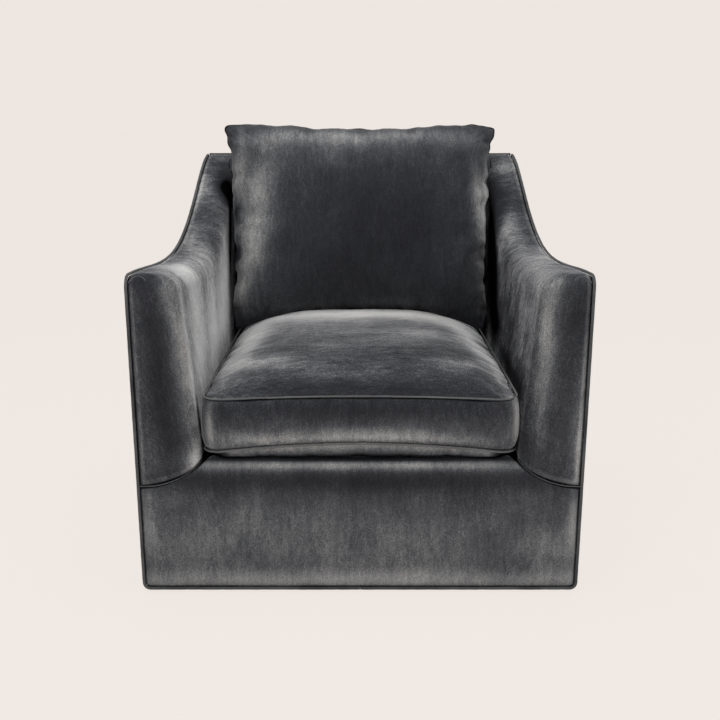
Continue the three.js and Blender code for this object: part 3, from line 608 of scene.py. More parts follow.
@dataclass(frozen=True)
class Velvet:
    """Short cotton pile that shows dark where it is brushed towards the eye and light where away, plus painted light
    and shade.
    """

    name: str = "charcoal_velvet"
    deep: Colour = (0.0105, 0.0110, 0.0135, 1.0)
    dark: Colour = (0.026, 0.027, 0.031, 1.0)
    middle: Colour = (0.066, 0.068, 0.073, 1.0)
    light: Colour = (0.178, 0.178, 0.178, 1.0)
    bright: Colour = (0.345, 0.340, 0.330, 1.0)
    raised: Colour = (0.600, 0.590, 0.570, 1.0)
    # near-black colour of the painted shade in crevices and gaps
    hollow: Colour = (0.0015, 0.0015, 0.0016, 1.0)
    span: float = 1.4
    streak: float = 0.28
    mottle: float = 0.26
    tuft: float = 0.36
    grain: float = 0.85
    # painted shade along the seams: how dark and how wide
    groove: float = 0.70
    groove_width: float = 0.0045
    places: tuple[float, ...] = (0.0, 0.27, 0.5, 0.75, 1.0, 1.4)
    brush_scale: Point = (46.0, 9.0, 1.0)
    tuft_scale: Point = (150.0, 46.0, 1.0)
    cloud_scale: float = 13.0
    grain_scale: float = 480.0
    # painted shade in crevices: how fast it deepens as the tone falls, and where it starts
    shut_gain: float = -2.5
    shut_start: float = 0.25

    def material(self) -> bpy.types.Material:
        """Builds the node tree.

        Returns:
            The material.
        """
        desk = Desk(self.name)
        lay = desk.attribute("lay", vector=True)
        place = desk.place()
        brushed = desk.noise(desk.stretched(lay, self.brush_scale), 1.0, 4.0, 0.62, 0.9)
        tufts = desk.noise(desk.stretched(lay, self.tuft_scale), 1.0, 3.0, 0.7, 1.0)
        clouds = desk.noise(place, self.cloud_scale, 4.0, 0.6, 0.4)
        grain = desk.noise(place, self.grain_scale, 3.0, 0.75)
        ruffled = (brushed - 0.5) * self.streak + (clouds - 0.5) * self.mottle
        ruffled = ruffled + (tufts - 0.5) * self.tuft + (grain - 0.5) * self.grain
        tone = desk.attribute("nap") + ruffled * desk.attribute("vivid")
        # Painted shade along every seam: the tone is darkened near the seams.
        seam = (1.0 - desk.attribute("edge") / self.groove_width).clamped()
        tone = tone - seam * self.groove
        colours = (self.deep, self.dark, self.middle, self.light, self.bright, self.raised)
        stops = [(at / self.span, shade) for at, shade in zip(self.places, colours)]
        colour = desk.ramp((tone / self.span).clamped(), stops)
        soft = desk.bump(clouds * 0.7 + tufts * 0.3, 0.004, 0.35)
        pile = desk.bump(grain, 0.0006, 0.5, soft)
        common = {"Base Color": colour, "Roughness": 0.92, "Normal": pile, "Specular IOR Level": 0.22}
        sheen = {"Sheen Weight": 1.0, "Sheen Roughness": 0.33, "Sheen Tint": (0.86, 0.86, 0.87, 1.0)}
        smooth = desk.node("ShaderNodeBsdfPrincipled", {}, common)
        raised = desk.node("ShaderNodeBsdfPrincipled", {}, common | sheen)
        # Sheen share follows the tone, so painted shade also takes away sheen.
        sheen_share = (tone * 1.1 + 0.02).clamped()
        cloth = desk.node("ShaderNodeMixShader", {}, {0: sheen_share, 1: smooth, 2: raised})
        # Near-black shader mixed in where the tone falls very low: painted shade in crevices and gaps.
        painted_shade_values = {"Base Color": self.hollow, "Roughness": 1.0, "Specular IOR Level": 0.0}
        painted_shade_shader = desk.node("ShaderNodeBsdfPrincipled", {}, painted_shade_values)
        depth = ((desk.attribute("nap") - seam * self.groove) * self.shut_gain - self.shut_start).clamped()
        desk.node_output(desk.node("ShaderNodeMixShader", {}, {0: depth, 1: cloth, 2: painted_shade_shader}))
        return desk.material


@dataclass(frozen=True)
class WeltCloth:
    """Tight bias-cut cloth round a cord."""

    name: str = "welt_cloth"
    deep: Colour = (0.022, 0.022, 0.024, 1.0)
    light: Colour = (0.150, 0.150, 0.150, 1.0)

    def material(self) -> bpy.types.Material:
        """Builds the node tree.

        Returns:
            The material.
        """
        desk = Desk(self.name)
        lay = desk.attribute("lay", vector=True)
        twill = desk.noise(desk.stretched(lay, (900.0, 260.0, 1.0)), 1.0, 2.0, 0.6, 0.3)
        worn = desk.noise(desk.place(), 26.0, 3.0, 0.6)
        tone = (desk.attribute("nap") + (twill - 0.5) * 0.5 + (worn - 0.5) * 0.5).clamped()
        colour = desk.ramp(tone, [(0.0, self.deep), (1.0, self.light)])
        return desk.finish({
            "Base Color": colour, "Roughness": 0.85, "Normal": desk.bump(twill, 0.0004, 0.6),
            "Specular IOR Level": 0.25, "Sheen Weight": 0.15, "Sheen Roughness": 0.5,
        })


@dataclass(frozen=True)
class Timber:
    """Planed beech with fine flecks and darker growth rings."""

    name: str = "planed_beech"
    pale: Colour = (0.56, 0.38, 0.22, 1.0)
    deep: Colour = (0.36, 0.21, 0.105, 1.0)

    def material(self) -> bpy.types.Material:
        """Builds the node tree.

        Returns:
            The material.
        """
        desk = Desk(self.name)
        place = desk.place()
        rings = desk.noise(desk.stretched(place, (60.0, 60.0, 5.0)), 1.0, 4.0, 0.6, 0.8)
        flecks = desk.noise(desk.stretched(place, (700.0, 700.0, 90.0)), 1.0, 1.0)
        colour = desk.ramp(rings * 0.8 + flecks * 0.2, [(0.3, self.deep), (0.62, self.pale)])
        return desk.finish({
            "Base Color": colour, "Roughness": flecks * 0.2 + 0.55, "Normal": desk.bump(flecks, 0.0005, 0.4),
        })


@dataclass(frozen=True)
class Speckled:
    """A plain hidden material with speckles, such as board, cambric, webbing or moulded nylon."""

    name: str
    deep: Colour
    light: Colour
    scale: float
    stretch: Point = (1.0, 1.0, 1.0)
    rough: float = 0.85
    metal: float = 0.0
    relief: float = 0.0004

    def material(self) -> bpy.types.Material:
        """Builds the node tree.

        Returns:
            The material.
        """
        desk = Desk(self.name)
        place = desk.stretched(desk.place(), self.stretch)
        fine = desk.noise(place, self.scale, 3.0, 0.65)
        broad = desk.noise(desk.place(), 14.0, 2.0)
        colour = desk.ramp(fine * 0.65 + broad * 0.35, [(0.34, self.deep), (0.66, self.light)])
        return desk.finish({
            "Base Color": colour, "Roughness": (fine - 0.5) * 0.25 + self.rough, "Metallic": self.metal,
            "Normal": desk.bump(fine, self.relief, 0.5),
        })


BOARD = Speckled("fibreboard", (0.17, 0.10, 0.055, 1.0), (0.33, 0.22, 0.13, 1.0), 420.0)
CAMBRIC = Speckled("black_cambric", (0.006, 0.006, 0.007, 1.0), (0.03, 0.03, 0.031, 1.0), 1500.0)
WEBBING = Speckled("jute_webbing", (0.10, 0.085, 0.06, 1.0), (0.27, 0.23, 0.17, 1.0), 700.0, (3.0, 1.0, 1.0))
STEEL = Speckled("spring_wire", (0.30, 0.30, 0.31, 1.0), (0.52, 0.52, 0.53, 1.0), 300.0, rough=0.38, metal=1.0)
NYLON = Speckled("moulded_nylon", (0.007, 0.007, 0.008, 1.0), (0.022, 0.022, 0.024, 1.0), 600.0, rough=0.5)
TAPE = Speckled(
    "zip_tape", (0.010, 0.010, 0.012, 1.0), (0.035, 0.035, 0.038, 1.0), 1600.0, (1.0, 1.0, 3.0), rough=0.8,
)
ZINC = Speckled("cast_zinc", (0.16, 0.16, 0.17, 1.0), (0.34, 0.34, 0.35, 1.0), 500.0, rough=0.34, metal=1.0)


# Form of the chair, shared by every cover


class Side(Enum):
    """The two sides of the chair, for a viewer who faces it."""

    RIGHT = 1
    LEFT = -1


@dataclass(frozen=True)
class ChairForm:
    """The surfaces that the covers follow, in metres."""

    half_width: float = 0.458
    front: float = -0.448
    rear: float = 0.448
    top: float = 0.813
    arm_front: float = 0.674
    arm_low: float = 0.640
    deck: float = 0.290
    hem: float = 0.0143
    plan_taper: float = 0.072
    flare: float = 0.012
    rear_lean: float = 0.062
    rake: float = 0.16
    back_foot: float = 0.266
    inner_deck: float = 0.32639
    inner_taper: float = 0.015
    seam_half: float = 0.31539
    seam_span: float = 0.13306
    seam_drop: float = 0.054
    welt_gap: float = 0.0043

    def arm_top(self, y: Array | float) -> Array:
        """Height of the arm: it dips behind the front and climbs into the wing in an S.

        Args:
            y: place from front to rear.

        Returns:
            The height there.
        """
        steps = np.linspace(0, 1, 60)[:, None]
        corners = [
            np.array([[0, self.arm_front], [0.156, 0.66788], [0.279, self.arm_low], [0.424, self.arm_low]]),
            np.array([[0.424, self.arm_low], [0.714, self.arm_low], [0.848, 0.80608], [1, self.top]]),
        ]
        line = np.concatenate([
            (1 - steps) ** 3 * c[0] + 3 * steps * (1 - steps) ** 2 * c[1]
            + 3 * steps**2 * (1 - steps) * c[2] + steps**3 * c[3] for c in corners
        ])
        share = (np.asarray(y, float) - self.front) / (self.rear - self.front)
        return np.interp(share, line[:, 0], line[:, 1])

    def outer(self, y: Array | float, z: Array | float) -> Array:
        """Outer half width of the chair."""
        return self.half_width - self.plan_taper * (y - self.front) - self.flare * (self.arm_front - z)

    def rear_plane(self, z: Array | float) -> Array:
        """Place of the outside back."""
        return self.rear - self.rear_lean * (self.top - z)

    def back_plane(self, z: Array | float) -> Array:
        """Place of the inside back."""
        return self.back_foot + self.rake * (z - self.deck)

    def deck_half(self, y: Array | float) -> Array:
        """Half width between the arms at the deck."""
        return self.inner_deck - self.inner_taper * (y - self.front)

    def inner(self, y: Array, z: Array) -> Array:
        """Inner face of the arm.

        Args:
            y: place from front to rear.
            z: height.

        Returns:
            Its distance from the middle of the chair.
        """
        share = (y - self.front) / (self.rear - self.front)
        thickness = 0.095 - 0.015 * share
        top = self.arm_top(y)
        foot = self.deck_half(y)
        reach = self.outer(y, top) - thickness - foot
        return foot + reach * (z - self.deck) / (top - self.deck)

    def seam(self, x: Array) -> Array:
        """Height of the seam between the arm and the front border.

        Args:
            x: distance from the middle of the chair.

        Returns:
            The height of the seam there.
        """
        share = np.clip((np.abs(x) - self.seam_half) / self.seam_span, 0, 1.2)
        return self.deck - self.seam_drop * (1 - (1 - share) ** 2)


FORM = ChairForm()


class Upholsterer:
    """Turns surfaces into pieces of the chair, with their finish, body and padding."""

    cord_sides: int = 10

    def __init__(self) -> None:
        """Makes the two cloths once."""
        self.velvet = Velvet().material()
        self.welt = WeltCloth().material()

    def cover(
        self, name: str, skin: Skin, body: str, nodes: Sequence[str], depth: float,
    ) -> bpy.types.Object:
        """Velvet piece from a surface.

        Args:
            name: name of the piece.
            skin: its surface.
            body: what it moves with.
            nodes: the solids it stands for.
            depth: thickness of its padding, or 0 where the surface is closed.

        Returns:
            The piece.
        """
        piece = made_mesh(name, skin.points, skin.faces)
        set_pile(piece, skin.nap, skin.lay, skin.edge, skin.vivid)
        piece.data.materials.append(self.velvet)
        if depth > 0:
            thickened(piece, depth)
        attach(piece, body)
        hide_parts(*nodes)
        log.info("%s: %d faces", name, len(piece.data.polygons))
        return piece

    def cord(
        self, name: str, path: Array, radius: float, body: str, nodes: Sequence[str], closed: bool,
        nap: Array | float = 0.5,
    ) -> bpy.types.Object:
        """Welt from a path.

        Args:
            name: name of the piece.
            path: its middle line.
            radius: its radius.
            body: what it moves with.
            nodes: the solids it stands for.
            closed: whether it meets its own start.
            nap: how light its cloth is.

        Returns:
            The piece.
        """
        points, faces, lay = swept(path, radius, self.cord_sides, closed)
        points = points + 0.00025 * soft_noise(points, 0.012, 5)[:, None]
        piece = made_mesh(name, points, faces)
        nap = np.repeat(nap, self.cord_sides) if isinstance(nap, np.ndarray) else nap
        set_pile(piece, nap + 0.2 * soft_noise(points, 0.05, 9), lay, np.zeros(len(points)))
        piece.data.materials.append(self.welt)
        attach(piece, body)
        if nodes:
            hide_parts(*nodes)
        log.info("%s: %d faces", name, len(piece.data.polygons))
        return piece


# Arms


@dataclass
class Arm:
    """One arm: front, top and inner face in one cover, from the border seam up over the wing."""

    side: Side
    inner_round: float = 0.044
    edge_round: float = 0.026
    corner_round: float = 0.038
    rear_fade: float = 0.72
    cell: float = 0.0055
    padding: float = 0.018
    steps_across: int = 25
    face_span: float = 0.40
    depth_span: float = 0.89
    base_nap: float = 0.30
    rim_light: float = 0.26
    rim_place: float = 0.008
    rim_width: float = 0.004
    seam_radius: float = 0.0011
    seam_nap: float = 0.30
    seam_reach: float = 0.1293
    seam_end: float = 0.050
    lean: float = 0.26
    squeeze: float = 0.55
    # tone marks on each arm: brushed pile with painted highlights and painted shade
    right_strokes: tuple[Stroke, ...] = (
        # front: painted light below and outside, painted shade above, with brushed pile
        Stroke((0.446, -0.448, 0.32), (0.02, 0, 1), 0.16, 0.022, 0.36),
        Stroke((0.430, -0.448, 0.60), (0, 0, 1), 0.07, 0.035, -0.14),
        Stroke((0.452, -0.448, 0.45), (0, 0, 1), 0.20, 0.007, 0.12),
        Stroke((0.400, -0.448, 0.30), (0.3, 0, 1), 0.10, 0.030, 0.05),
        # rounding towards the seat: painted highlight
        Stroke((0.366, -0.446, 0.56), (-0.02, 0, 1), 0.10, 0.024, 0.46),
        Stroke((0.358, -0.446, 0.42), (-0.02, 0, 1), 0.10, 0.020, 0.34),
        # inner face: painted shade beside the cushions, painted highlight near the top
        Stroke((0.331, -0.10, 0.47), (0, -0.93, -0.3), 0.30, 0.100, -0.30),
        Stroke((0.330, -0.34, 0.42), (0, 0, 1), 0.10, 0.040, -0.20),
        Stroke((0.327, 0.22, 0.62), (0, 0.2, 1), 0.16, 0.048, -1.00),
        Stroke((0.328, 0.14, 0.54), (0, 0.4, 0.9), 0.13, 0.050, -0.90),
        Stroke((0.331, 0.08, 0.455), (0, 1, 0), 0.10, 0.030, -0.60),
        Stroke((0.352, 0.14, 0.670), (0, 0.8, 0.8), 0.12, 0.024, 0.36),
        Stroke((0.336, 0.22, 0.705), (0, 0.8, 0.8), 0.05, 0.018, 0.34),
        Stroke((0.333, -0.14, 0.410), (0, 1, 0), 0.26, 0.026, -0.42),
        # top, from the front up to the wing: painted highlight, with brushed pile
        Stroke((0.372, -0.30, 0.650), (0, 1, 0), 0.14, 0.030, 0.36),
        Stroke((0.362, 0.00, 0.640), (0, 1, 0.05), 0.16, 0.028, 0.34),
        Stroke((0.405, -0.09, 0.644), (0, 1, 0), 0.10, 0.020, 0.30),
        Stroke((0.391, -0.436, 0.655), (0, 0.3, -1), 0.05, 0.018, 0.24),
        Stroke((0.370, 0.20, 0.700), (0, 1, 0.7), 0.10, 0.022, 0.22),
        Stroke((0.368, 0.36, 0.812), (0, 1, 0.4), 0.05, 0.026, 0.70),
    )
    left_strokes: tuple[Stroke, ...] = (
        # front: painted shade band between a grey strip and the painted highlight on the rounding
        Stroke((-0.395, -0.448, 0.455), (0.09, 0, -1), 0.20, 0.026, -0.28),
        Stroke((-0.432, -0.448, 0.42), (0, 0, 1), 0.20, 0.012, 0.06),
        Stroke((-0.374, -0.446, 0.610), (0.25, 0, -1), 0.07, 0.014, 0.18),
        Stroke((-0.400, -0.448, 0.29), (1, 0, 0.1), 0.05, 0.035, 0.12),
        Stroke((-0.425, -0.440, 0.660), (1, 0, 0), 0.04, 0.022, -0.16),
        Stroke((-0.385, -0.385, 0.665), (0.1, 1, 0), 0.08, 0.030, 0.20),
        # rounding and inner face: painted highlight, with painted shade beside the cushions
        Stroke((-0.348, -0.42, 0.56), (0.03, 0, -1), 0.11, 0.034, 0.45),
        Stroke((-0.342, -0.41, 0.42), (0.03, 0, -1), 0.11, 0.034, 0.50),
        Stroke((-0.328, -0.43, 0.288), (0.1, 0, -1), 0.03, 0.026, 0.90),
        Stroke((-0.335, -0.27, 0.52), (0, 0.2, 1), 0.17, 0.095, 0.84),
        Stroke((-0.331, -0.08, 0.49), (0, 0.5, 1), 0.13, 0.080, 0.86),
        Stroke((-0.330, 0.08, 0.50), (0, 0.3, 1), 0.11, 0.070, 0.80),
        Stroke((-0.330, 0.03, 0.46), (0, 1, 0), 0.07, 0.040, 0.40),
        Stroke((-0.328, 0.15, 0.55), (0, -0.2, -1), 0.12, 0.050, 0.62),
        Stroke((-0.330, 0.29, 0.76), (0, 0.1, 1), 0.08, 0.030, -0.74),
        Stroke((-0.329, 0.25, 0.65), (0, 0.3, 1), 0.13, 0.018, -1.20),
        Stroke((-0.329, -0.385, 0.37), (0, 0, 1), 0.07, 0.012, -0.90),
        # top, from the front up to the wing: painted highlight and painted shade by the cushion, with brushed pile
        Stroke((-0.366, -0.27, 0.650), (0, 1, 0), 0.14, 0.030, 0.30),
        Stroke((-0.362, -0.02, 0.645), (0, 1, 0.05), 0.12, 0.028, 0.30),
        Stroke((-0.412, 0.19, 0.700), (0, 1, 0.7), 0.11, 0.014, 0.34),
        Stroke((-0.402, 0.30, 0.775), (0, 1, 0.6), 0.08, 0.018, 0.60),
        Stroke((-0.378, 0.29, 0.768), (0, 1, 0.8), 0.06, 0.026, 0.36),
        Stroke((-0.340, 0.35, 0.81), (0, 1, 0.5), 0.06, 0.026, -0.60),
        Stroke((-0.395, 0.06, 0.655), (0, 1, 0.2), 0.09, 0.014, 0.30),
        Stroke((-0.345, 0.09, 0.650), (0, 1, 0.5), 0.08, 0.020, -0.26),
    )
    creases: tuple[Stroke, ...] = (
        Stroke((0.345, -0.02, 0.600), (0, 0.6, 1), 0.060, 0.007, -0.0020),
        Stroke((0.345, 0.03, 0.610), (0, 0.9, 1), 0.060, 0.007, -0.0018),
        Stroke((0.345, 0.08, 0.630), (0, 1.2, 1), 0.060, 0.008, -0.0018),
        Stroke((0.345, -0.09, 0.590), (0, 0.3, 1), 0.055, 0.008, -0.0014),
        Stroke((0.345, -0.16, 0.590), (0, 0.0, 1), 0.050, 0.008, -0.0010),
    )

    def _rounded(self, a: Array, b: Array, c: Array) -> tuple[Array, Array, Array]:
        """Rounds the corner between the inner face, the top and the front.

        Args:
            a: distance out from the inner face.
            b: distance below the top.
            c: distance behind the front.

        Returns:
            The same three distances on the rounded corner.
        """
        small = self.edge_round + (self.corner_round - self.edge_round) * (1 - eased(a, 0.02, 0.085))
        fade = 1 - self.rear_fade * eased(c, 0.64, 0.80)
        sizes = (self.inner_round * fade, small * fade, small)
        near = [np.clip((size - part) / size, 0, None) for size, part in zip(sizes, (a, b, c))]
        length = np.maximum(1.0, np.sqrt(sum(part**2 for part in near)))
        return tuple(
            np.where(whole < size, size - size * part / length, whole)
            for size, part, whole in zip(sizes, near, (a, b, c))
        )

    def _placed(self, a: Array, b: Array, c: Array) -> Array:
        """Points of the arm at distances from its three faces.

        Args:
            a: distance out from the inner face.
            b: distance below the top.
            c: distance behind the front.

        Returns:
            Places on the right arm.
        """
        a, b, c = self._rounded(*np.broadcast_arrays(a, b, c))
        y = FORM.front + c
        z = FORM.arm_top(y) - b
        return np.stack([FORM.inner(y, z) + a, y, z], -1)

    def _foot(self, a: Array, c: Array) -> Array:
        """Height of the foot of the cover.

        Args:
            a: distance out from the inner face.
            c: distance behind the front.

        Returns:
            The height of the seam there.
        """
        low = self._placed(a, np.full(np.broadcast(a, c).shape, 0.36), c)
        return FORM.seam(low[..., 0])

    def _lay(self, points: Array, a: Array, c: Array) -> Array:
        """How the pile lies: upright on the front, leaning to the rear on the inner face.

        Args:
            points: places on the arm.
            a: distance out from the inner face.
            c: distance behind the front.

        Returns:
            Place across and along the pile at each point.
        """
        inward = eased(c, 0.0, 0.10)
        height = points[..., 2] - 0.5
        drop = FORM.arm_top(points[..., 1]) - points[..., 2]
        across = self.squeeze * c - a * (1 - inward) + self.lean * height * inward
        return np.stack([across, -drop - a * inward], -1)

    def _skin(self) -> Skin:
        """The three faces of the arm in one surface.

        Returns:
            The surface, before its seams are drawn in.
        """
        form = FORM
        alpha = np.linspace(0, 1, self.steps_across)
        beta = np.linspace(0, 1, int(0.42 / self.cell))
        gamma = np.linspace(0, 1, int(self.depth_span / self.cell))
        thick = form.outer(form.front, 0.45) - form.welt_gap - form.inner(form.front, np.array(0.45))

        def width(y: Array, z: Array) -> Array:
            """Distance from the inner face to the welt."""
            return form.outer(y, z) - form.welt_gap - form.inner(y, z)

        # the front
        share, drop = np.meshgrid(alpha, beta)
        foot = self._foot(share * thick, np.zeros_like(share))
        b = drop * (form.arm_front - foot)
        a = share * width(form.front, form.arm_front - b)
        front = self._placed(a, b, np.zeros_like(a))
        front_a = a
        front_edge = np.minimum((1 - share) * 0.11, (1 - drop) * self.face_span)
        # the top
        share, back = np.meshgrid(alpha, gamma)
        c = back * (form.rear_plane(form.top) - form.welt_gap - form.front)
        y = form.front + c
        a = share * width(y, form.arm_top(y))
        top = self._placed(a, np.zeros_like(a), c)
        top_a, top_c = a, c
        top_edge = np.minimum((1 - share) * 0.09, (1 - back) * self.depth_span)
        # the inner face
        drop, back = np.meshgrid(beta, gamma)
        height = form.top - drop * (form.top - form.deck)
        c = back * (form.rear_plane(height) - form.welt_gap - form.front)
        foot = self._foot(np.zeros_like(c), c)
        b = drop * (form.arm_top(form.front + c) - foot)
        inner = self._placed(np.zeros_like(c), b, c)
        inner_edge = np.minimum((1 - drop) * self.face_span, (1 - back) * self.depth_span)
        return Skin.of([
            Patch(front, self._lay(front, front_a, np.zeros_like(front_a)), front_edge, (0, -1, 0)),
            Patch(top, self._lay(top, top_a, top_c), top_edge, (0, 0, 1)),
            Patch(inner, self._lay(inner, np.zeros_like(c), c), inner_edge, (-1, 0, 0)),
        ])

    def build(self, shop: Upholsterer) -> None:
        """Makes the arm's cover.

        Args:
            shop: who sews it.
        """
        skin = self._skin()
        skin.tuck(0.0045, 0.0035, 0.0012, 0.012)
        seed = 11 if self.side is Side.RIGHT else 23
        rest = skin.points
        own = self.right_strokes if self.side is Side.RIGHT else self.left_strokes
        # Painted light and shade from the stroke lists, over the brushed pile.
        skin.nap = self.base_nap + strokes_on(rest * np.array([self.side.value, 1, 1]), own)
        skin.nap += 0.06 * soft_noise(rest, 0.07, seed)
        skin.nap += self.rim_light * bell(skin.edge - self.rim_place, self.rim_width)
        skin.vivid = 1.1 + 1.3 * (1 - np.abs(skin.normals()[:, 1]))
        relief = strokes_on(rest, self.creases) + 0.0008 * soft_noise(rest, 0.06, seed + 1)
        skin.push(relief * (1 - bell(skin.edge, 0.02)))
        name = self.side.name.lower()
        skin.points[:, 0] *= self.side.value
        if self.side is Side.LEFT:
            skin.faces = skin.faces[:, ::-1]
            skin.lay = skin.lay + 3.0
        nodes = (f"{name}_arm_cover", f"{name}_arm_pad")
        shop.cover(f"{name}_arm_velvet", skin, "frame", nodes, self.padding)
        for end, path in (("border", self._border_seam()), ("dart", self._dart())):
            line = evenly(path, 0.003) * np.array([self.side.value, 1, 1])
            shop.cord(f"{name}_{end}_seam", line, self.seam_radius, "frame", (), False, self.seam_nap)

    def _border_seam(self) -> Array:
        """Line of the folded edge where the arm cover is sewn to the border.

        Returns:
            Its points, from the front welt round to the inner face.
        """
        a = np.concatenate([np.linspace(self.seam_reach, 0, 40), np.zeros(16)])
        c = np.concatenate([np.zeros(40), np.linspace(0, self.seam_end, 17)[1:]])
        line = self._placed(a, FORM.arm_top(FORM.front + c) - self._foot(a, c), c)
        return line + np.array([0.0, 0.0012, 0.0012])

    def _dart(self) -> Array:
        """Line of the curved dart that shapes the cover over the upper outer corner of the front.

        Returns:
            Its points.
        """
        run = np.linspace(0, 1, 30)
        arc = np.sin(0.9 * math.pi * run)
        far = FORM.outer(FORM.front, 0.65) - FORM.welt_gap - FORM.inner(FORM.front, np.array(0.65))
        line = self._placed(far - 0.003 - 0.034 * run, 0.014 - 0.013 * arc, 0.013 * arc)
        return line + np.array([0.0, -0.0003, 0.0003])


# Front border, deck, inside back and outside


@dataclass
class Border:
    """Front border: a flat face with a soft roll under the seat cushion and a lip behind it."""

    roll: float = 0.030
    lip_end: float = -0.3563
    lip_draw: float = 0.04
    corner: float = 0.0097
    cell: float = 0.0055
    padding: float = 0.015
    nap_strokes: tuple[Stroke, ...] = (
        # painted highlight on the roll, then painted shadow where the seat cushion rests on it
        Stroke((0.0, -0.441, 0.281), (1, 0, 0), 0.45, 0.011, 0.50),
        Stroke((0.0, -0.426, 0.2862), (1, 0, 0), 0.30, 0.0055, -1.30),
        Stroke((0.0, -0.448, 0.250), (1, 0, 0), 0.50, 0.022, -0.28),
        Stroke((0.0, -0.448, 0.150), (1, 0, 0), 0.80, 0.055, 0.18),
        Stroke((0.0, -0.448, 0.085), (1, 0, 0), 0.70, 0.040, 0.15),
        Stroke((0.0, -0.448, 0.030), (1, 0, 0), 0.90, 0.024, 0.40),
        Stroke((-0.15, -0.448, 0.17), (1, 0, 0.4), 0.12, 0.050, 0.04),
        Stroke((0.22, -0.448, 0.18), (1, 0, -0.3), 0.12, 0.040, -0.06),
        Stroke((-0.432, -0.448, 0.15), (0, 0, 1), 0.14, 0.020, 0.20),
        Stroke((0.385, -0.448, 0.08), (0, 0, 1), 0.08, 0.045, 0.12),
        Stroke((0.438, -0.448, 0.16), (0, 0, 1), 0.10, 0.014, 0.30),
    )

    def build(self, shop: Upholsterer) -> None:
        """Makes the border.

        Args:
            shop: who sews it.
        """
        form = FORM
        face = form.deck - self.roll - form.hem
        arc = self.roll * math.pi / 2
        lip = self.lip_end - form.front - self.roll
        run = np.linspace(0, face + arc + lip, int((face + arc + lip) / self.cell))
        angle = np.clip((run - face) / self.roll, 0, math.pi / 2)
        past = np.clip(run - face - arc, 0, None)
        y_line = form.front + self.roll * (1 - np.cos(angle)) + past
        z_line = form.hem + np.minimum(run, face) + self.roll * np.sin(angle)
        across = np.linspace(-1, 1, int(0.90 / self.cell))
        share, y = np.meshgrid(across, y_line)
        z, back = np.meshgrid(across, z_line)[1], np.meshgrid(across, past)[1]
        low = np.clip(self.corner - (z - form.hem), 0, None)
        draw = self.corner - np.sqrt(np.clip(self.corner**2 - low**2, 0, None))
        half = form.outer(form.front, z) - form.welt_gap - draw
        x = share * half
        seam = form.seam(x)
        beside = eased(np.abs(x), 0.308, 0.322)
        over = np.clip(z - (seam - 0.002), 0, None) * beside
        z = z - 0.8 * over
        y = y + np.minimum(over * 1.6, 0.010) * beside
        edge_seam = np.where(np.abs(x) > 0.316, np.abs(seam - z), 1.0)
        side_edge = (1 - np.abs(share)) * half
        edge = np.minimum(np.minimum(side_edge, z - form.hem + back), edge_seam)
        x = x * (1 - self.lip_draw * eased(y, form.front + 0.020, form.front + 0.050))
        patch = Patch(np.stack([x, y, z], -1), np.stack([x, z + y], -1), edge, (0, -1, 0.2))
        skin = Skin.of([patch])
        skin.tuck(0.0030, 0.0035, 0.0010, 0.02)
        rest = skin.points
        skin.nap = 0.36 + strokes_on(rest, self.nap_strokes) + 0.07 * soft_noise(rest, 0.055, 31)
        skin.push(0.0007 * soft_noise(rest, 0.05, 32))
        shop.cover("front_border_velvet", skin, "frame", ("front_cover", "front_pad"), self.padding)


@dataclass
class Deck:
    """Flat platform under the seat cushion."""

    gap: float = 0.0006
    front: float = -0.3557
    rear: float = 0.2685
    padding: float = 0.012

    def build(self, shop: Upholsterer) -> None:
        """Makes the deck.

        Args:
            shop: who sews it.
        """
        share, y = np.meshgrid(np.linspace(-1, 1, 90), np.linspace(self.front, self.rear, 90))
        half = FORM.deck_half(y) - self.gap
        x = share * half
        edge = np.minimum(half - np.abs(x), np.minimum(y - self.front, self.rear - y))
        z = np.full_like(x, FORM.deck - 0.0004)
        skin = Skin.of([Patch(np.stack([x, y, z], -1), np.stack([x, y], -1), edge, (0, 0, 1))])
        skin.tuck(0.003, 0.006)
        rest = skin.points
        skin.push(-0.0015 * (0.5 + 0.5 * soft_noise(rest, 0.09, 41)) * (1 - bell(skin.edge, 0.05)))
        skin.nap = 0.38 + 0.10 * soft_noise(rest, 0.08, 42)
        shop.cover("deck_velvet", skin, "frame", ("deck_cover", "deck_pad"), self.padding)


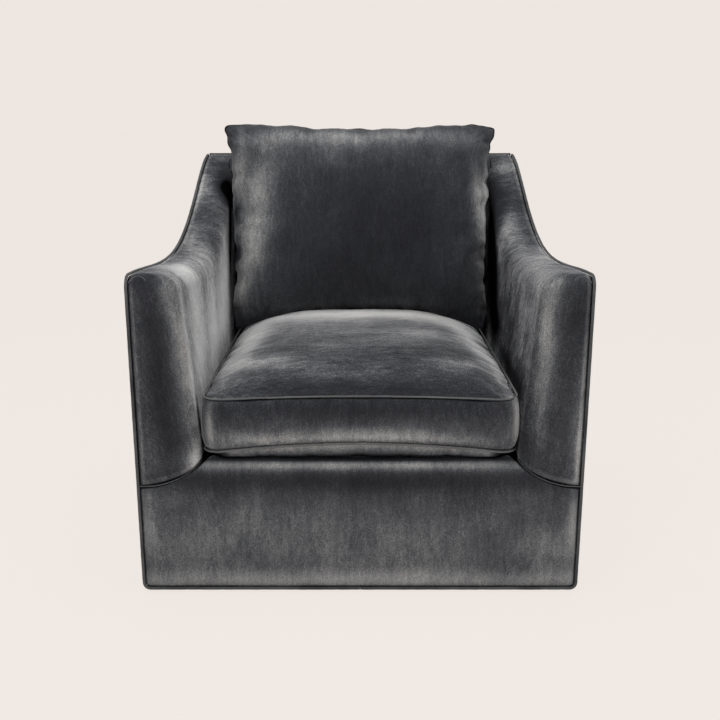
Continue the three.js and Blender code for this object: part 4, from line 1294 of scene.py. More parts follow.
@dataclass
class InsideBack:
    """Padded inside back, rolled over its top to the welt at the rear."""

    roll: float = 0.046
    cell: float = 0.0065
    padding: float = 0.020
    reach: float = 0.014
    nap_strokes: tuple[Stroke, ...] = (
        # painted shade beside the cushion at the upper left, painted highlight on the right wing's top
        Stroke((-0.300, 0.31, 0.80), (0, 0.2, 1), 0.05, 0.030, -0.34),
        Stroke((0.330, 0.33, 0.81), (0.3, 0.2, 1), 0.04, 0.030, 0.30),
    )

    def build(self, shop: Upholsterer) -> None:
        """Makes the inside back.

        Args:
            shop: who sews it.
        """
        form = FORM
        slope = math.hypot(1, form.rake)
        turn = math.pi / 2 - math.atan(form.rake)
        height = form.top - self.roll
        middle = form.back_plane(height) + self.roll * slope
        foot = form.deck + 0.0005
        start = math.pi - math.atan(form.rake)
        z_start = height + self.roll * math.sin(start)
        face = (z_start - foot) * slope
        arc = self.roll * turn
        rear = form.rear_plane(form.top) - form.welt_gap
        flat = rear - middle
        run = np.linspace(0, face + arc + flat, int((face + arc + flat) / self.cell))
        up = np.clip(run / face, 0, 1)
        angle = start - np.clip((run - face) / self.roll, 0, turn)
        past = np.clip(run - face - arc, 0, None)
        z_line = np.where(run < face, foot + up * (z_start - foot), height + self.roll * np.sin(angle))
        y_line = np.where(run < face, form.back_plane(z_line), middle + self.roll * np.cos(angle) + past)
        across = np.linspace(-1, 1, 111)
        share, y = np.meshgrid(across, y_line)
        z, back = np.meshgrid(across, z_line)[1], np.meshgrid(across, past)[1]
        level = np.minimum(z, form.arm_top(y) - 0.02)
        half = form.inner(y, level) + self.reach * eased(z, 0.70, 0.81)
        x = share * half
        edge = np.minimum((1 - np.abs(share)) * half, np.minimum(z - foot, 1.0))
        edge = np.minimum(edge, np.where(back > 0, flat - back, 1.0))
        skin = Skin.of([Patch(np.stack([x, y, z], -1), np.stack([x, z + y], -1), edge, (0, -1, 0.3))])
        skin.tuck(0.006, 0.012, 0.0, 0.03)
        rest = skin.points
        skin.push(0.0010 * soft_noise(rest, 0.06, 51))
        # Painted shade down both sides, in the corner between the back, the arms and the cushion.
        beside = bell(np.abs(rest[:, 0]) - 0.325, 0.045) * (1 - eased(rest[:, 2], 0.72, 0.81))
        skin.nap = 0.34 + 0.10 * soft_noise(rest, 0.08, 52) - 0.60 * beside
        skin.nap += strokes_on(rest, self.nap_strokes)
        nodes = ("inside_back_cover", "back_pad")
        shop.cover("inside_back_velvet", skin, "frame", nodes, self.padding)


@dataclass
class OutsidePanels:
    """Flat velvet panels on both sides and the rear, stretched between their welts."""

    cell: float = 0.0075
    edge_round: float = 0.0217
    padding: float = 0.0022

    def _side(self, side: Side, shop: Upholsterer) -> None:
        """Makes one outside arm.

        Args:
            side: which one.
            shop: who sews it.
        """
        form = FORM
        start = form.front + form.welt_gap
        share = np.linspace(0, 1, int(0.89 / self.cell))
        along = share + 0.06 * np.sin(math.pi * share) ** 2 * (share - 1) * np.exp(-share * 6)
        up = np.linspace(0, 1, int(0.70 / self.cell))
        run, rise = np.meshgrid(along, up)
        end = form.rear_plane(form.hem + rise * (form.top - form.hem)) - form.welt_gap
        y = start + run * (end - start)
        slope = np.gradient(form.arm_top(y), axis=1) / np.gradient(y, axis=1)
        left = np.clip(self.edge_round - (y - start), 0, None)
        drop = self.edge_round - np.sqrt(np.clip(self.edge_round**2 - left**2, 0, None))
        crest = form.arm_top(y) - form.welt_gap * np.hypot(1, slope) - drop
        z = form.hem + rise * (crest - form.hem)
        edge = np.minimum(np.minimum(y - start, end - y), np.minimum(crest - z, z - form.hem))
        x = form.outer(y, z)
        skin = Skin.of([Patch(np.stack([x, y, z], -1), np.stack([y, z], -1), edge, (1, 0, 0))])
        skin.tuck(0.0025, 0.005, 0.0015, 0.04)
        rest = skin.points
        seed = 61 if side is Side.RIGHT else 67
        skin.push(0.0008 * soft_noise(rest, 0.09, seed))
        skin.nap = 0.46 + 0.12 * soft_noise(rest, 0.12, seed + 1) + 0.06 * soft_noise(rest, 0.04, seed + 2)
        skin.points[:, 0] *= side.value
        if side is Side.LEFT:
            skin.faces = skin.faces[:, ::-1]
        name = side.name.lower()
        shop.cover(f"{name}_side_velvet", skin, "frame", (f"{name}_side_cover",), self.padding)

    def _rear(self, shop: Upholsterer) -> None:
        """Makes the outside back.

        Args:
            shop: who sews it.
        """
        form = FORM
        top = form.top - form.welt_gap
        share, rise = np.meshgrid(np.linspace(-1, 1, 105), np.linspace(0, 1, 107))
        z = form.hem + rise * (top - form.hem)
        y = form.rear_plane(z)
        half = form.outer(y, z) - form.welt_gap
        x = share * half
        edge = np.minimum((1 - np.abs(share)) * half, np.minimum(z - form.hem, top - z))
        skin = Skin.of([Patch(np.stack([x, y, z], -1), np.stack([x, z], -1), edge, (0, 1, 0))])
        skin.tuck(0.0025, 0.005, 0.0012, 0.05)
        rest = skin.points
        skin.push(0.0008 * soft_noise(rest, 0.10, 71))
        skin.nap = 0.45 + 0.13 * soft_noise(rest, 0.13, 72) + 0.06 * soft_noise(rest, 0.045, 73)
        shop.cover("rear_velvet", skin, "frame", ("rear_cover",), self.padding)

    def build(self, shop: Upholsterer) -> None:
        """Makes the three panels.

        Args:
            shop: who sews them.
        """
        self._side(Side.RIGHT, shop)
        self._side(Side.LEFT, shop)
        self._rear(shop)


@dataclass
class FrameWelts:
    """Welts along the hem, up the front edges, over the arms and across the back."""

    radius: float = 0.0030
    depth: float = 0.0010
    hem: float = 0.011
    hem_round: float = 0.013
    edge_round: float = 0.025
    wing_round: float = 0.008
    nap: float = 0.28

    def _side_path(self) -> Array:
        """Middle line of the right welt.

        Returns:
            Its points, from the middle of the hem to the rear foot.
        """
        form = FORM
        face = form.front + self.depth
        corner_z = self.hem + self.hem_round
        corner_x = float(form.outer(face, corner_z)) - self.depth - self.hem_round
        angles = np.linspace(-math.pi / 2, 0, 9)
        hem = np.stack([
            corner_x + self.hem_round * np.cos(angles), np.full(9, face), corner_z + self.hem_round * np.sin(angles),
        ], 1)
        depth = self.edge_round * (1 - np.cos(np.linspace(0, math.pi / 2, 9)))
        drop = self.edge_round - np.sqrt(self.edge_round**2 - (self.edge_round - depth) ** 2)
        round_y = face + depth
        end = float(form.rear_plane(form.top)) - self.depth - self.wing_round
        top_y = np.concatenate([round_y, np.linspace(face + self.edge_round, end, 160)[1:]])
        slope = np.gradient(form.arm_top(top_y), top_y)
        top_z = form.arm_top(top_y) - self.depth * np.hypot(1, slope)
        top_z[: len(drop)] -= drop
        turn = np.linspace(math.pi / 2, 0, 8)[1:]
        wing_y = end + self.wing_round * np.cos(turn)
        wing_z = top_z[-1] - self.wing_round + self.wing_round * np.sin(turn)
        y = np.concatenate([top_y, wing_y, [float(form.rear_plane(self.hem)) - self.depth]])
        z = np.concatenate([top_z, wing_z, [self.hem]])
        over = np.stack([form.outer(y, z) - self.depth, y, z], 1)
        return np.concatenate([[[0.0002, face, self.hem]], hem, over])

    def build(self, shop: Upholsterer) -> None:
        """Makes the three welts.

        Args:
            shop: who sews them.
        """
        form = FORM
        path = evenly(self._side_path(), 0.004)
        for side in Side:
            name = side.name.lower()
            turned = path * np.array([side.value, 1, 1])
            shop.cord(f"{name}_side_welt", turned, self.radius, "frame", (f"{name}_side_piping",), False, self.nap)
        y, z = float(form.rear_plane(form.top)) - self.depth, form.top - self.depth
        end = float(form.outer(y, z)) - form.welt_gap
        line = evenly(np.array([[-end, y, z], [end, y, z]]), 0.005)
        shop.cord("back_welt", line, self.radius, "frame", ("back_piping",), False, self.nap)


# Cushions


@dataclass(frozen=True)
class Stuffing:
    """How a cushion is blown up by the cloth simulation, and how much of that is kept."""

    pressure: float = 4.0
    frames: int = 20
    seam_shrink: float = 0.07
    slack: float = 0.02
    stiffness: float = 12.0
    bending: float = 0.4
    calm_passes: int = 90
    gain: float = 1.0
    cap: float = 0.008
    inner_share: float = 0.25
    reach: float = 0.07

    def puckers(self, skin: Skin, seam: Array) -> Array:
        """Simulates the cloth and keeps its folds.

        Args:
            skin: closed surface of the cushion.
            seam: 1 at the points along its seams, 0 elsewhere.

        Returns:
            How far each point moves.
        """
        piece = made_mesh("swelling", skin.points, skin.faces)
        group = piece.vertex_groups.new(name="seams")
        for level in (0.25, 0.5, 0.75, 1.0):
            chosen = np.where(np.abs(seam - level) <= 0.125)[0]
            if len(chosen):
                group.add(chosen.tolist(), level, "REPLACE")
        cloth = piece.modifiers.new("swell", "CLOTH")
        settings = cloth.settings
        settings.quality = 6
        settings.mass = 0.3
        settings.tension_stiffness = settings.compression_stiffness = self.stiffness
        settings.shear_stiffness = self.stiffness / 3
        settings.bending_stiffness = self.bending
        settings.use_pressure = True
        settings.uniform_pressure_force = self.pressure
        settings.vertex_group_shrink = group.name
        settings.shrink_min = -self.slack
        settings.shrink_max = self.seam_shrink
        settings.effector_weights.gravity = 0
        cloth.collision_settings.use_collision = False
        cloth.collision_settings.use_self_collision = False
        cloth.point_cache.frame_start, cloth.point_cache.frame_end = 1, self.frames
        scene = bpy.context.scene
        for number in range(1, self.frames + 1):
            scene.frame_set(number)
        evaluated = piece.evaluated_get(bpy.context.evaluated_depsgraph_get())
        moved = np.zeros(len(skin.points) * 3, np.float32)
        evaluated.data.vertices.foreach_get("co", moved)
        scene.frame_set(1)
        bpy.data.objects.remove(piece)
        change = moved.reshape(-1, 3).astype(float) - skin.points
        folds = (change - skin.calmed(change, self.calm_passes)) * self.gain
        near = bell(skin.edge, self.reach)
        folds *= (self.inner_share + (1 - self.inner_share) * near)[:, None]
        size = np.linalg.norm(folds, axis=1, keepdims=True)
        return folds * np.minimum(1, self.cap / np.maximum(size, 1e-9))


def square_grid(columns: int, rows: int, crowding: float) -> tuple[Array, Array, Array, Array]:
    """Square grid whose lines lie closer towards its edge.

    Args:
        columns: points across.
        rows: points up.
        crowding: how much closer, from 0 to 1.

    Returns:
        Shares across and up from -1 to 1, the larger of both, and the place on the square's sides that
        each point looks to: 0 to 4, with a corner at each whole number, from the lower left corner.
    """
    even = [np.linspace(-1, 1, count) for count in (columns, rows)]
    a, b = np.meshgrid(*[(1 - crowding) * line + crowding * np.sin(line * math.pi / 2) for line in even])
    reach = np.maximum(np.abs(a), np.abs(b))
    u, v = a / np.maximum(reach, 1e-9), b / np.maximum(reach, 1e-9)
    place = np.where(
        v <= -1 + 1e-9, (u + 1) / 2,
        np.where(u >= 1 - 1e-9, 1 + (v + 1) / 2, np.where(v >= 1 - 1e-9, 2 + (1 - u) / 2, 3 + (1 - v) / 2)),
    )
    return a, b, reach, place


def on_outline(outline: Array, corners: Sequence[int], place: Array) -> Array:
    """Points of a closed outline at places on the sides of a square.

    Args:
        outline: its points, once round.
        corners: which of them the square's four corners go to, in rising order.
        place: from 0 to 4 round the square.

    Returns:
        The points.
    """
    loop = np.concatenate([outline, outline[:1]])
    run = run_along(loop)
    marks = run[list(corners)]
    knots = np.concatenate([marks, [marks[0] + run[-1]]])
    at = np.interp(place, np.arange(5), knots) % run[-1]
    return np.stack([np.interp(at, run, loop[:, k]) for k in range(2)], -1)


@dataclass
class SeatCushion:
    """Boxed seat cushion: crowned top, swelling boxing between two welts, flat underside."""

    front: float = -0.440
    rear: float = 0.258
    front_corner: float = 0.046
    rear_corner: float = 0.115
    side_gap: float = 0.007
    rear_taper: float = 0.013
    upper_rise: float = 0.127
    upper_arch: float = 0.009
    lower_rise: float = 0.015
    lower_arch: float = 0.022
    rear_drop: float = 0.006
    crown: float = 0.057
    power: float = 4.6
    swell: float = 0.0085
    roll: float = 0.030
    flat_share: float = 0.92
    under_swell: float = 0.005
    welt_radius: float = 0.0017
    seam_depth: float = 0.0040
    corner_points: tuple[int, ...] = (10, 31, 52, 73)
    core_height: float = 0.37
    boxing_span: float = 0.11
    top_span: float = 0.33
    corner_shade: float = 1.4
    flank_shade: float = 0.38
    columns: int = 97
    rows: int = 105
    boxing_rows: int = 23
    stuffing: Stuffing = Stuffing(seam_shrink=0.04, slack=0.01, gain=0.5, cap=0.006)
    # tone of the underside strip by depth below the lower welt: painted light under the welt, painted contact shadow
    # at the floor
    under_places: tuple[float, ...] = (-0.9, -0.35, -0.05, 0.04, 0.3, 0.55, 0.75, 1.0)
    under_nap: tuple[float, ...] = (0.0, 0.14, 0.10, 1.05, 0.60, 0.16, -0.35, -1.50)
    # brushed pile with painted highlights along the rear band, the side rims and the boxing, and painted shade
    # behind the front welt
    nap_strokes: tuple[Stroke, ...] = (
        Stroke((0.0, -0.13, 0.475), (1, 0, 0), 0.28, 0.10, 0.18),
        Stroke((0.0, 0.07, 0.475), (1, 0, 0), 0.30, 0.070, 1.04),
        Stroke((-0.14, -0.02, 0.477), (1, 0, 0), 0.14, 0.05, 0.18),
        Stroke((-0.268, -0.05, 0.445), (0.1, 1, 0), 0.10, 0.036, 0.34),
        Stroke((0.20, 0.00, 0.470), (1, -0.6, 0), 0.12, 0.05, 0.38),
        Stroke((-0.250, -0.16, 0.460), (-0.09, -1, 0), 0.18, 0.036, 0.60),
        Stroke((0.262, -0.15, 0.455), (0.19, -1, 0), 0.17, 0.034, 0.60),
        Stroke((-0.290, -0.25, 0.440), (-0.05, -1, 0), 0.12, 0.020, 0.35),
        Stroke((0.300, -0.30, 0.440), (0.05, -1, 0), 0.14, 0.018, 0.45),
        Stroke((-0.19, -0.32, 0.463), (0.9, -0.3, 0), 0.10, 0.036, 0.42),
        Stroke((0.22, -0.31, 0.458), (0.9, 0.3, 0), 0.07, 0.032, 0.34),
        Stroke((0.16, -0.13, 0.470), (1, 0, 0), 0.08, 0.050, 0.24),
        Stroke((0.03, -0.30, 0.470), (1, 0, 0), 0.16, 0.035, -0.06),
        Stroke((0.0, -0.420, 0.440), (1, 0, 0), 0.30, 0.024, -0.24),
        Stroke((0.0, -0.448, 0.402), (1, 0, 0), 0.36, 0.016, -0.16),
        Stroke((0.02, -0.448, 0.350), (1, 0, 0), 0.20, 0.022, 0.32),
        Stroke((0.0, -0.448, 0.335), (1, 0, 0), 0.40, 0.014, 0.24),
        Stroke((-0.24, -0.448, 0.345), (1, 0, -0.1), 0.07, 0.016, 0.20),
        Stroke((-0.302, -0.435, 0.365), (0, 0, 1), 0.060, 0.012, 0.50),
        Stroke((0.318, -0.415, 0.370), (0, 0, 1), 0.060, 0.022, 0.85),
    )

    @property
    def middle(self) -> float:
        """Middle from front to rear."""
        return (self.front + self.rear) / 2

    def half(self, y: Array | float) -> Array:
        """Half width of the cushion."""
        return FORM.deck_half(y) - self.side_gap - self.rear_taper * eased(y, -0.28, 0.12)

    def arch(self, x: Array) -> Array:
        """Rise of the seams towards the middle, from 0 to 1."""
        return 1 - (x / self.half(self.front)) ** 2

    def lower(self, x: Array) -> Array:
        """Height of the lower seam."""
        return FORM.deck + self.lower_rise + self.lower_arch * self.arch(x)

    def upper(self, x: Array, y: Array) -> Array:
        """Height of the upper seam."""
        sunk = self.rear_drop * (y - self.front) / (self.rear - self.front)
        return FORM.deck + self.upper_rise + self.upper_arch * self.arch(x) - sunk

    def top(self, x: Array, y: Array, a: Array, b: Array) -> Array:
        """Height of the crowned top.

        Args:
            x: place across the cushion.
            y: place from front to rear.
            a: share of the way from its middle to its sides.
            b: share of the way from its middle to its front and rear.

        Returns:
            The height there.
        """
        return self.upper(x, y) + self.crown * (1 - np.abs(a) ** self.power) * (1 - np.abs(b) ** self.power)

    def _floor(self, y: Array) -> Array:
        """Height of what the cushion rests on: the deck, and the roll of the front border."""
        past = np.clip(FORM.front + self.roll - y, 0, 0.8 * self.roll)
        return FORM.deck + 0.0004 - 0.85 * (self.roll - np.sqrt(self.roll**2 - past**2))

    def _outline(self) -> Array:
        """Plan of the cushion, once round from the middle of the left side.

        Returns:
            Points that follow the sides of a square: front left, front right, rear right, rear left.
        """
        def corner(sign: int, y: float, size: float, start: float) -> Array:
            """Arc round one corner.

            Args:
                sign: -1 on the left, 1 on the right.
                y: place of the cushion's front or rear.
                size: radius of the corner.
                start: angle at which the arc starts.

            Returns:
                Its points.
            """
            middle_x = sign * (float(self.half(y)) - size)
            middle_y = y + (size if y < 0 else -size)
            turn = np.linspace(start, start + math.pi / 2, 21)
            return np.stack([middle_x + size * np.cos(turn), middle_y + size * np.sin(turn)], 1)

        return np.concatenate([
            corner(-1, self.front, self.front_corner, math.pi),
            corner(1, self.front, self.front_corner, -math.pi / 2),
            corner(1, self.rear, self.rear_corner, 0.0),
            corner(-1, self.rear, self.rear_corner, math.pi / 2),
        ])

    def _rim(self, grid: Array) -> Array:
        """Border of a grid, once round."""
        return np.concatenate([grid[0, :-1], grid[:-1, -1], grid[-1, :0:-1], grid[:0:-1, 0]])

    def _skin(self) -> tuple[Skin, Array]:
        """The whole cover of the cushion.

        Returns:
            The surface, and the plan of its rim.
        """
        form = FORM
        a, b, reach, place = square_grid(self.columns, self.rows, 0.28)
        centre = np.array([0.0, self.middle])
        plan = centre + (on_outline(self._outline(), self.corner_points, place) - centre) * reach[..., None]
        x, y = plan[..., 0], plan[..., 1]
        top = np.stack([x, y, self.top(x, y, a, b)], -1)
        turn = np.clip((reach - self.flat_share) / (1 - self.flat_share), 0, 1)
        full = plan + unit(plan - centre) * (self.under_swell * np.sin(math.pi * turn**1.5))[..., None]
        base = self._floor(full[..., 1])
        under_z = base + (1 - np.sqrt(1 - turn**2)) * (self.lower(x) - base)
        under = np.concatenate([full, under_z[..., None]], -1)
        rim = self._rim(plan)
        rise = np.linspace(0, 1, self.boxing_rows)
        away = unit(rim - centre)
        bulge = (4 * rise * (1 - rise)) ** 0.8 * self.swell
        side_xy = rim[None] + away[None] * bulge[:, None, None]
        low, high = self.lower(rim[:, 0]), self.upper(rim[:, 0], rim[:, 1])
        side_z = low[None] + rise[:, None] * (high - low)[None]
        side = np.concatenate([side_xy, side_z[..., None]], -1)
        side = np.concatenate([side, side[:, :1]], 1)
        girth = run_along(np.concatenate([rim, rim[:1]]))
        height = np.broadcast_to(rise[:, None] * self.boxing_span, side.shape[:2])
        top_edge = (1 - reach) * self.top_span
        under_edge = top_edge + np.clip(self.lower(x) - under_z, 0, None)
        side_edge = np.broadcast_to(np.minimum(rise, 1 - rise)[:, None] * self.boxing_span, side.shape[:2])
        lay_side = np.stack([np.broadcast_to(girth, side.shape[:2]), height], -1)
        skin = Skin.of([
            Patch(top, np.stack([y, x], -1), top_edge, (0, 0, 1)),
            Patch(under, np.stack([y, x], -1), under_edge, (0, 0, -1)),
            Patch(side, lay_side, side_edge, (0, 0, 1)),
        ])
        self._turn(skin)
        return skin, rim

    def _turn(self, skin: Skin) -> None:
        """Turns every face away from the middle of the cushion.

        Args:
            skin: the surface, which is changed.
        """
        facing = facings(skin.points, skin.faces)
        away = skin.points[skin.faces].mean(1) - np.array([0.0, self.middle, self.core_height])
        wrong = (facing * away).sum(1) < 0
        skin.faces[wrong] = skin.faces[wrong][:, ::-1]

    def _gathers(self, skin: Skin, rest: Array) -> Array:
        """Small folds that the welts pull into the boxing and into the edge of the top.

        Args:
            skin: the surface.
            rest: its points before any fold.

        Returns:
            How far each point stands out.
        """
        flank = 1 - np.abs(skin.normals()[:, 2])
        upright = soft_noise(rest * np.array([1, 1, 0.22]), 0.015, 83)
        inward = soft_noise(rest * np.array([1, 0.3, 0.3]), 0.017, 84)
        near = bell(skin.edge, 0.028) * (1 - bell(skin.edge, 0.004))
        return 0.0011 * upright * flank + 0.0016 * inward * near * (1 - flank)

    def build(self, shop: Upholsterer) -> None:
        """Makes the cushion and its two welts.

        Args:
            shop: who sews it.
        """
        skin, rim = self._skin()
        seam = np.clip(1 - skin.edge / 0.012, 0, 1)
        folds = self.stuffing.puckers(skin, seam)
        rest = skin.points.copy()
        skin.points = skin.points + folds * (1 - 0.6 * bell(skin.edge, 0.006))[:, None]
        skin.push(-self.seam_depth * bell(skin.edge, 0.005))
        skin.push(0.0012 * soft_noise(rest, 0.07, 81) * (1 - bell(skin.edge, 0.03)))
        skin.push(self._gathers(skin, rest))
        skin.points[:, 2] = np.maximum(skin.points[:, 2], self._floor(skin.points[:, 1]))
        skin.nap = 0.30 + strokes_on(rest, self.nap_strokes) + 0.07 * soft_noise(rest, 0.09, 82)
        # Painted light on the underside strip and painted contact shadow at the floor, painted shade under the
        # corners, and painted shade on the rear flanks.
        seam_z, floor_z = self.lower(rest[:, 0]), self._floor(rest[:, 1])
        below = (seam_z - rest[:, 2]) / (seam_z - floor_z)
        aside = np.abs(rest[:, 0])
        lifted = eased(below - (0.320 - aside) / 0.110, 0.0, 0.30) * eased(below, 0.05, 0.15)
        skin.nap += np.interp(below, self.under_places, self.under_nap) - self.corner_shade * lifted
        flank = eased(aside, 0.27, 0.30) * eased(rest[:, 1], -0.30, -0.20) * eased(-rest[:, 2], -0.44, -0.41)
        skin.nap -= self.flank_shade * flank
        skin.vivid = 1.0 + 1.0 * np.abs(skin.normals()[:, 2])
        nodes = ("seat_cushion_cover", "seat_cushion_core")
        shop.cover("seat_cushion_velvet", skin, "seat_cushion", nodes, 0.0)
        away = unit(rim - np.array([0.0, self.middle]))
        out = rim + away * 0.0002
        upper = np.concatenate([out, (self.upper(rim[:, 0], rim[:, 1]) + 0.001)[:, None]], 1)
        lower = np.concatenate([out, (self.lower(rim[:, 0]) - 0.001)[:, None]], 1)
        for name, path in (("upper", upper), ("lower", lower)):
            line = evenly(path, 0.005, closed=True)
            node = f"seat_cushion_{name}_piping"
            # Painted shade on the welts where they run into the gaps beside the arms.
            nap = 0.60 - 0.7 * eased(np.abs(line[:, 0]), 0.25, 0.29) * eased(line[:, 1], -0.30, -0.20)
            shop.cord(f"seat_cushion_{name}_welt", line, self.welt_radius, "seat_cushion", (node,), True, nap)


@dataclass
class BackCushion:
    """Loose back cushion: two bulging faces in a puckered knife edge, with ears at its upper corners."""

    middle: Point = (0.0, 0.24478, 0.65890)
    lean: float = 0.29
    half_width: float = 0.3112
    half_height: float = 0.252
    front: float = 0.098
    rear: float = 0.062
    rim: float = 0.008
    tilt: float = 0.0010
    left_spread: float = 0.0040
    half_outline: tuple[tuple[float, float], ...] = (
        (0.000, -0.216), (0.080, -0.216), (0.155, -0.219), (0.205, -0.227), (0.250, -0.241), (0.280, -0.256),
        (0.299, -0.266), (0.309, -0.262), (0.3125, -0.246), (0.312, -0.160), (0.314, -0.080), (0.317, 0.000),
        (0.321, 0.060), (0.323, 0.120), (0.321, 0.165), (0.319, 0.188), (0.321, 0.205), (0.329, 0.220),
        (0.335, 0.233), (0.334, 0.245), (0.326, 0.249), (0.306, 0.2495), (0.270, 0.250), (0.200, 0.249),
        (0.100, 0.243), (0.000, 0.240),
    )
    columns: int = 107
    rows: int = 91
    side_fold: float = 0.0028
    end_fold: float = 0.0014
    stuffing: Stuffing = Stuffing(seam_shrink=0.04, slack=0.01, gain=0.7, cap=0.0045, bending=0.3)
    # painted shade in the middle, painted highlights down both sides and along the top edge, small painted shade in
    # the side folds, with brushed pile
    nap_strokes: tuple[Stroke, ...] = (
        Stroke((0.06, 0.15, 0.64), (0.3, 0, 1), 0.18, 0.14, -0.22),
        Stroke((-0.10, 0.14, 0.57), (1, 0, 0.6), 0.12, 0.07, -0.08),
        Stroke((-0.248, 0.185, 0.70), (0.04, 0, 1), 0.17, 0.050, 0.54),
        Stroke((-0.300, 0.225, 0.81), (0.02, 0, 1), 0.08, 0.028, 0.50),
        Stroke((-0.280, 0.165, 0.50), (0, 0, 1), 0.05, 0.030, 0.66),
        Stroke((-0.302, 0.195, 0.590), (0, 0, 1), 0.030, 0.016, -0.50),
        Stroke((-0.306, 0.215, 0.700), (0, 0, 1), 0.020, 0.014, -0.40),
        Stroke((-0.255, 0.17, 0.60), (0.2, 0, 1), 0.08, 0.038, 0.32),
        Stroke((-0.02, 0.225, 0.885), (1, 0, 0), 0.38, 0.032, 0.48),
        Stroke((0.29, 0.240, 0.895), (1, 0, 0.1), 0.04, 0.024, 0.30),
        Stroke((-0.31, 0.240, 0.890), (1, 0, -0.1), 0.03, 0.034, 0.34),
        Stroke((0.0, 0.20, 0.83), (1, 0, 0), 0.26, 0.035, 0.10),
        Stroke((0.294, 0.205, 0.71), (-0.02, 0, 1), 0.15, 0.028, 0.66),
        Stroke((0.314, 0.225, 0.73), (0, 0.2, 1), 0.14, 0.012, 0.80),
        Stroke((0.288, 0.170, 0.53), (0, 0.1, 1), 0.09, 0.018, 0.40),
        Stroke((0.06, 0.135, 0.490), (1, 0, 0), 0.12, 0.022, 0.26),
        Stroke((-0.12, 0.140, 0.480), (1, 0, 0.1), 0.10, 0.018, 0.16),
    )
    creases: tuple[Stroke, ...] = (
        Stroke((-0.285, 0.20, 0.545), (1, -0.3, -0.5), 0.050, 0.008, -0.0035),
        Stroke((-0.280, 0.20, 0.505), (1, -0.3, -0.3), 0.055, 0.009, -0.0040),
        Stroke((-0.285, 0.20, 0.600), (1, -0.3, -0.2), 0.040, 0.007, -0.0025),
        Stroke((-0.270, 0.19, 0.470), (1, -0.3, 0.4), 0.050, 0.010, -0.0030),
        Stroke((0.285, 0.20, 0.560), (1, 0.3, 0.4), 0.040, 0.007, -0.0025),
        Stroke((0.280, 0.20, 0.500), (1, 0.3, 0.2), 0.045, 0.008, -0.0030),
    )

    def _axes(self) -> tuple[Array, Array]:
        """Directions up the cushion and out of its front."""
        return unit(np.array([0.0, self.lean, 1.0])), unit(np.array([0.0, -1.0, self.lean]))

    def _outline(self) -> tuple[Array, list[int]]:
        """Outline of the seam in its own plane, once round from the lower left corner.

        Returns:
            Its points, and which of them are its four corners.
        """
        right = np.array(self.half_outline)
        loop = np.concatenate([right, (right * (-1, 1))[-2:0:-1]])
        flat = evenly(np.pad(loop, ((0, 0), (0, 1))), 0.002, closed=True)[:, :2]
        smooth = sum(np.roll(flat, step, 0) for step in range(-3, 4)) / 7
        corners = [
            int(np.argmin(np.linalg.norm(smooth - np.array(corner), axis=1)))
            for corner in ((-0.304, -0.262), (0.304, -0.262), (0.334, 0.250), (-0.334, 0.250))
        ]
        turned = np.roll(smooth, -corners[0], 0)
        return turned, [(corner - corners[0]) % len(turned) for corner in corners]

    def _skin(self) -> Skin:
        """Both faces in one surface.

        Returns:
            The surface, before its folds.
        """
        a, b, reach, place = square_grid(self.columns, self.rows, 0.45)
        plan = on_outline(*self._outline(), place) * reach[..., None]
        plan[..., 1] -= self.tilt * plan[..., 0] / self.half_width * np.clip(b, 0, None)
        plan[..., 0] -= self.left_spread * np.clip(-a, 0, 1) * eased(b, 0.2, 0.9)
        up, out = self._axes()
        flat = np.array(self.middle) + plan[..., :1] * np.array([1.0, 0, 0]) + plan[..., 1:] * up
        rounded = self.rim * np.sqrt(1 - reach**16)
        front = rounded + self.front * np.sqrt((1 - np.abs(a) ** 3) * (1 - b**4))
        rear = rounded + self.rear * np.sqrt((1 - a**6) * (1 - b**4))
        edge = np.minimum((1 - np.abs(a)) * self.half_width, (1 - np.abs(b)) * self.half_height)
        lay = np.stack([a * 0.31, b * 0.25], -1)
        return Skin.of([
            Patch(flat + front[..., None] * out, lay, edge, (0, -1, 0.3)),
            Patch(flat - rear[..., None] * out, lay + 5.0, edge, (0, 1, -0.3)),
        ])

    def _gathers(self, skin: Skin) -> tuple[Array, Array]:
        """Folds that the knife edge pulls into both faces.

        Args:
            skin: the surface.

        Returns:
            How far each point stands out, and how far it is drawn in along the cushion.
        """
        share = (skin.lay - 5.0 * (skin.lay > 2.5)) / np.array([0.31, 0.25])
        a, b = share[:, 0], share[:, 1]
        side_way = (1 - np.abs(a)) * self.half_width
        end_way = (1 - np.abs(b)) * self.half_height
        flat = np.zeros_like(a)
        side = soft_noise(np.stack([np.sign(a) * 0.5, b * self.half_height + 0.3 * side_way, flat], -1), 0.016, 93)
        end = soft_noise(np.stack([a * self.half_width + 0.2 * end_way, np.sign(b) * 0.5, flat], -1), 0.020, 94)
        out = self.side_fold * side * bell(side_way, 0.036)
        out = out + self.end_fold * end * bell(end_way, 0.030)
        up, _ = self._axes()
        drawn = 0.0024 * (0.5 - 0.5 * side) * bell(side_way, 0.020) * np.sign(a)
        lowered = 0.0012 * (0.5 - 0.5 * end) * bell(end_way, 0.018) * np.sign(b)
        return out, -drawn[:, None] * np.array([1.0, 0, 0]) - lowered[:, None] * up

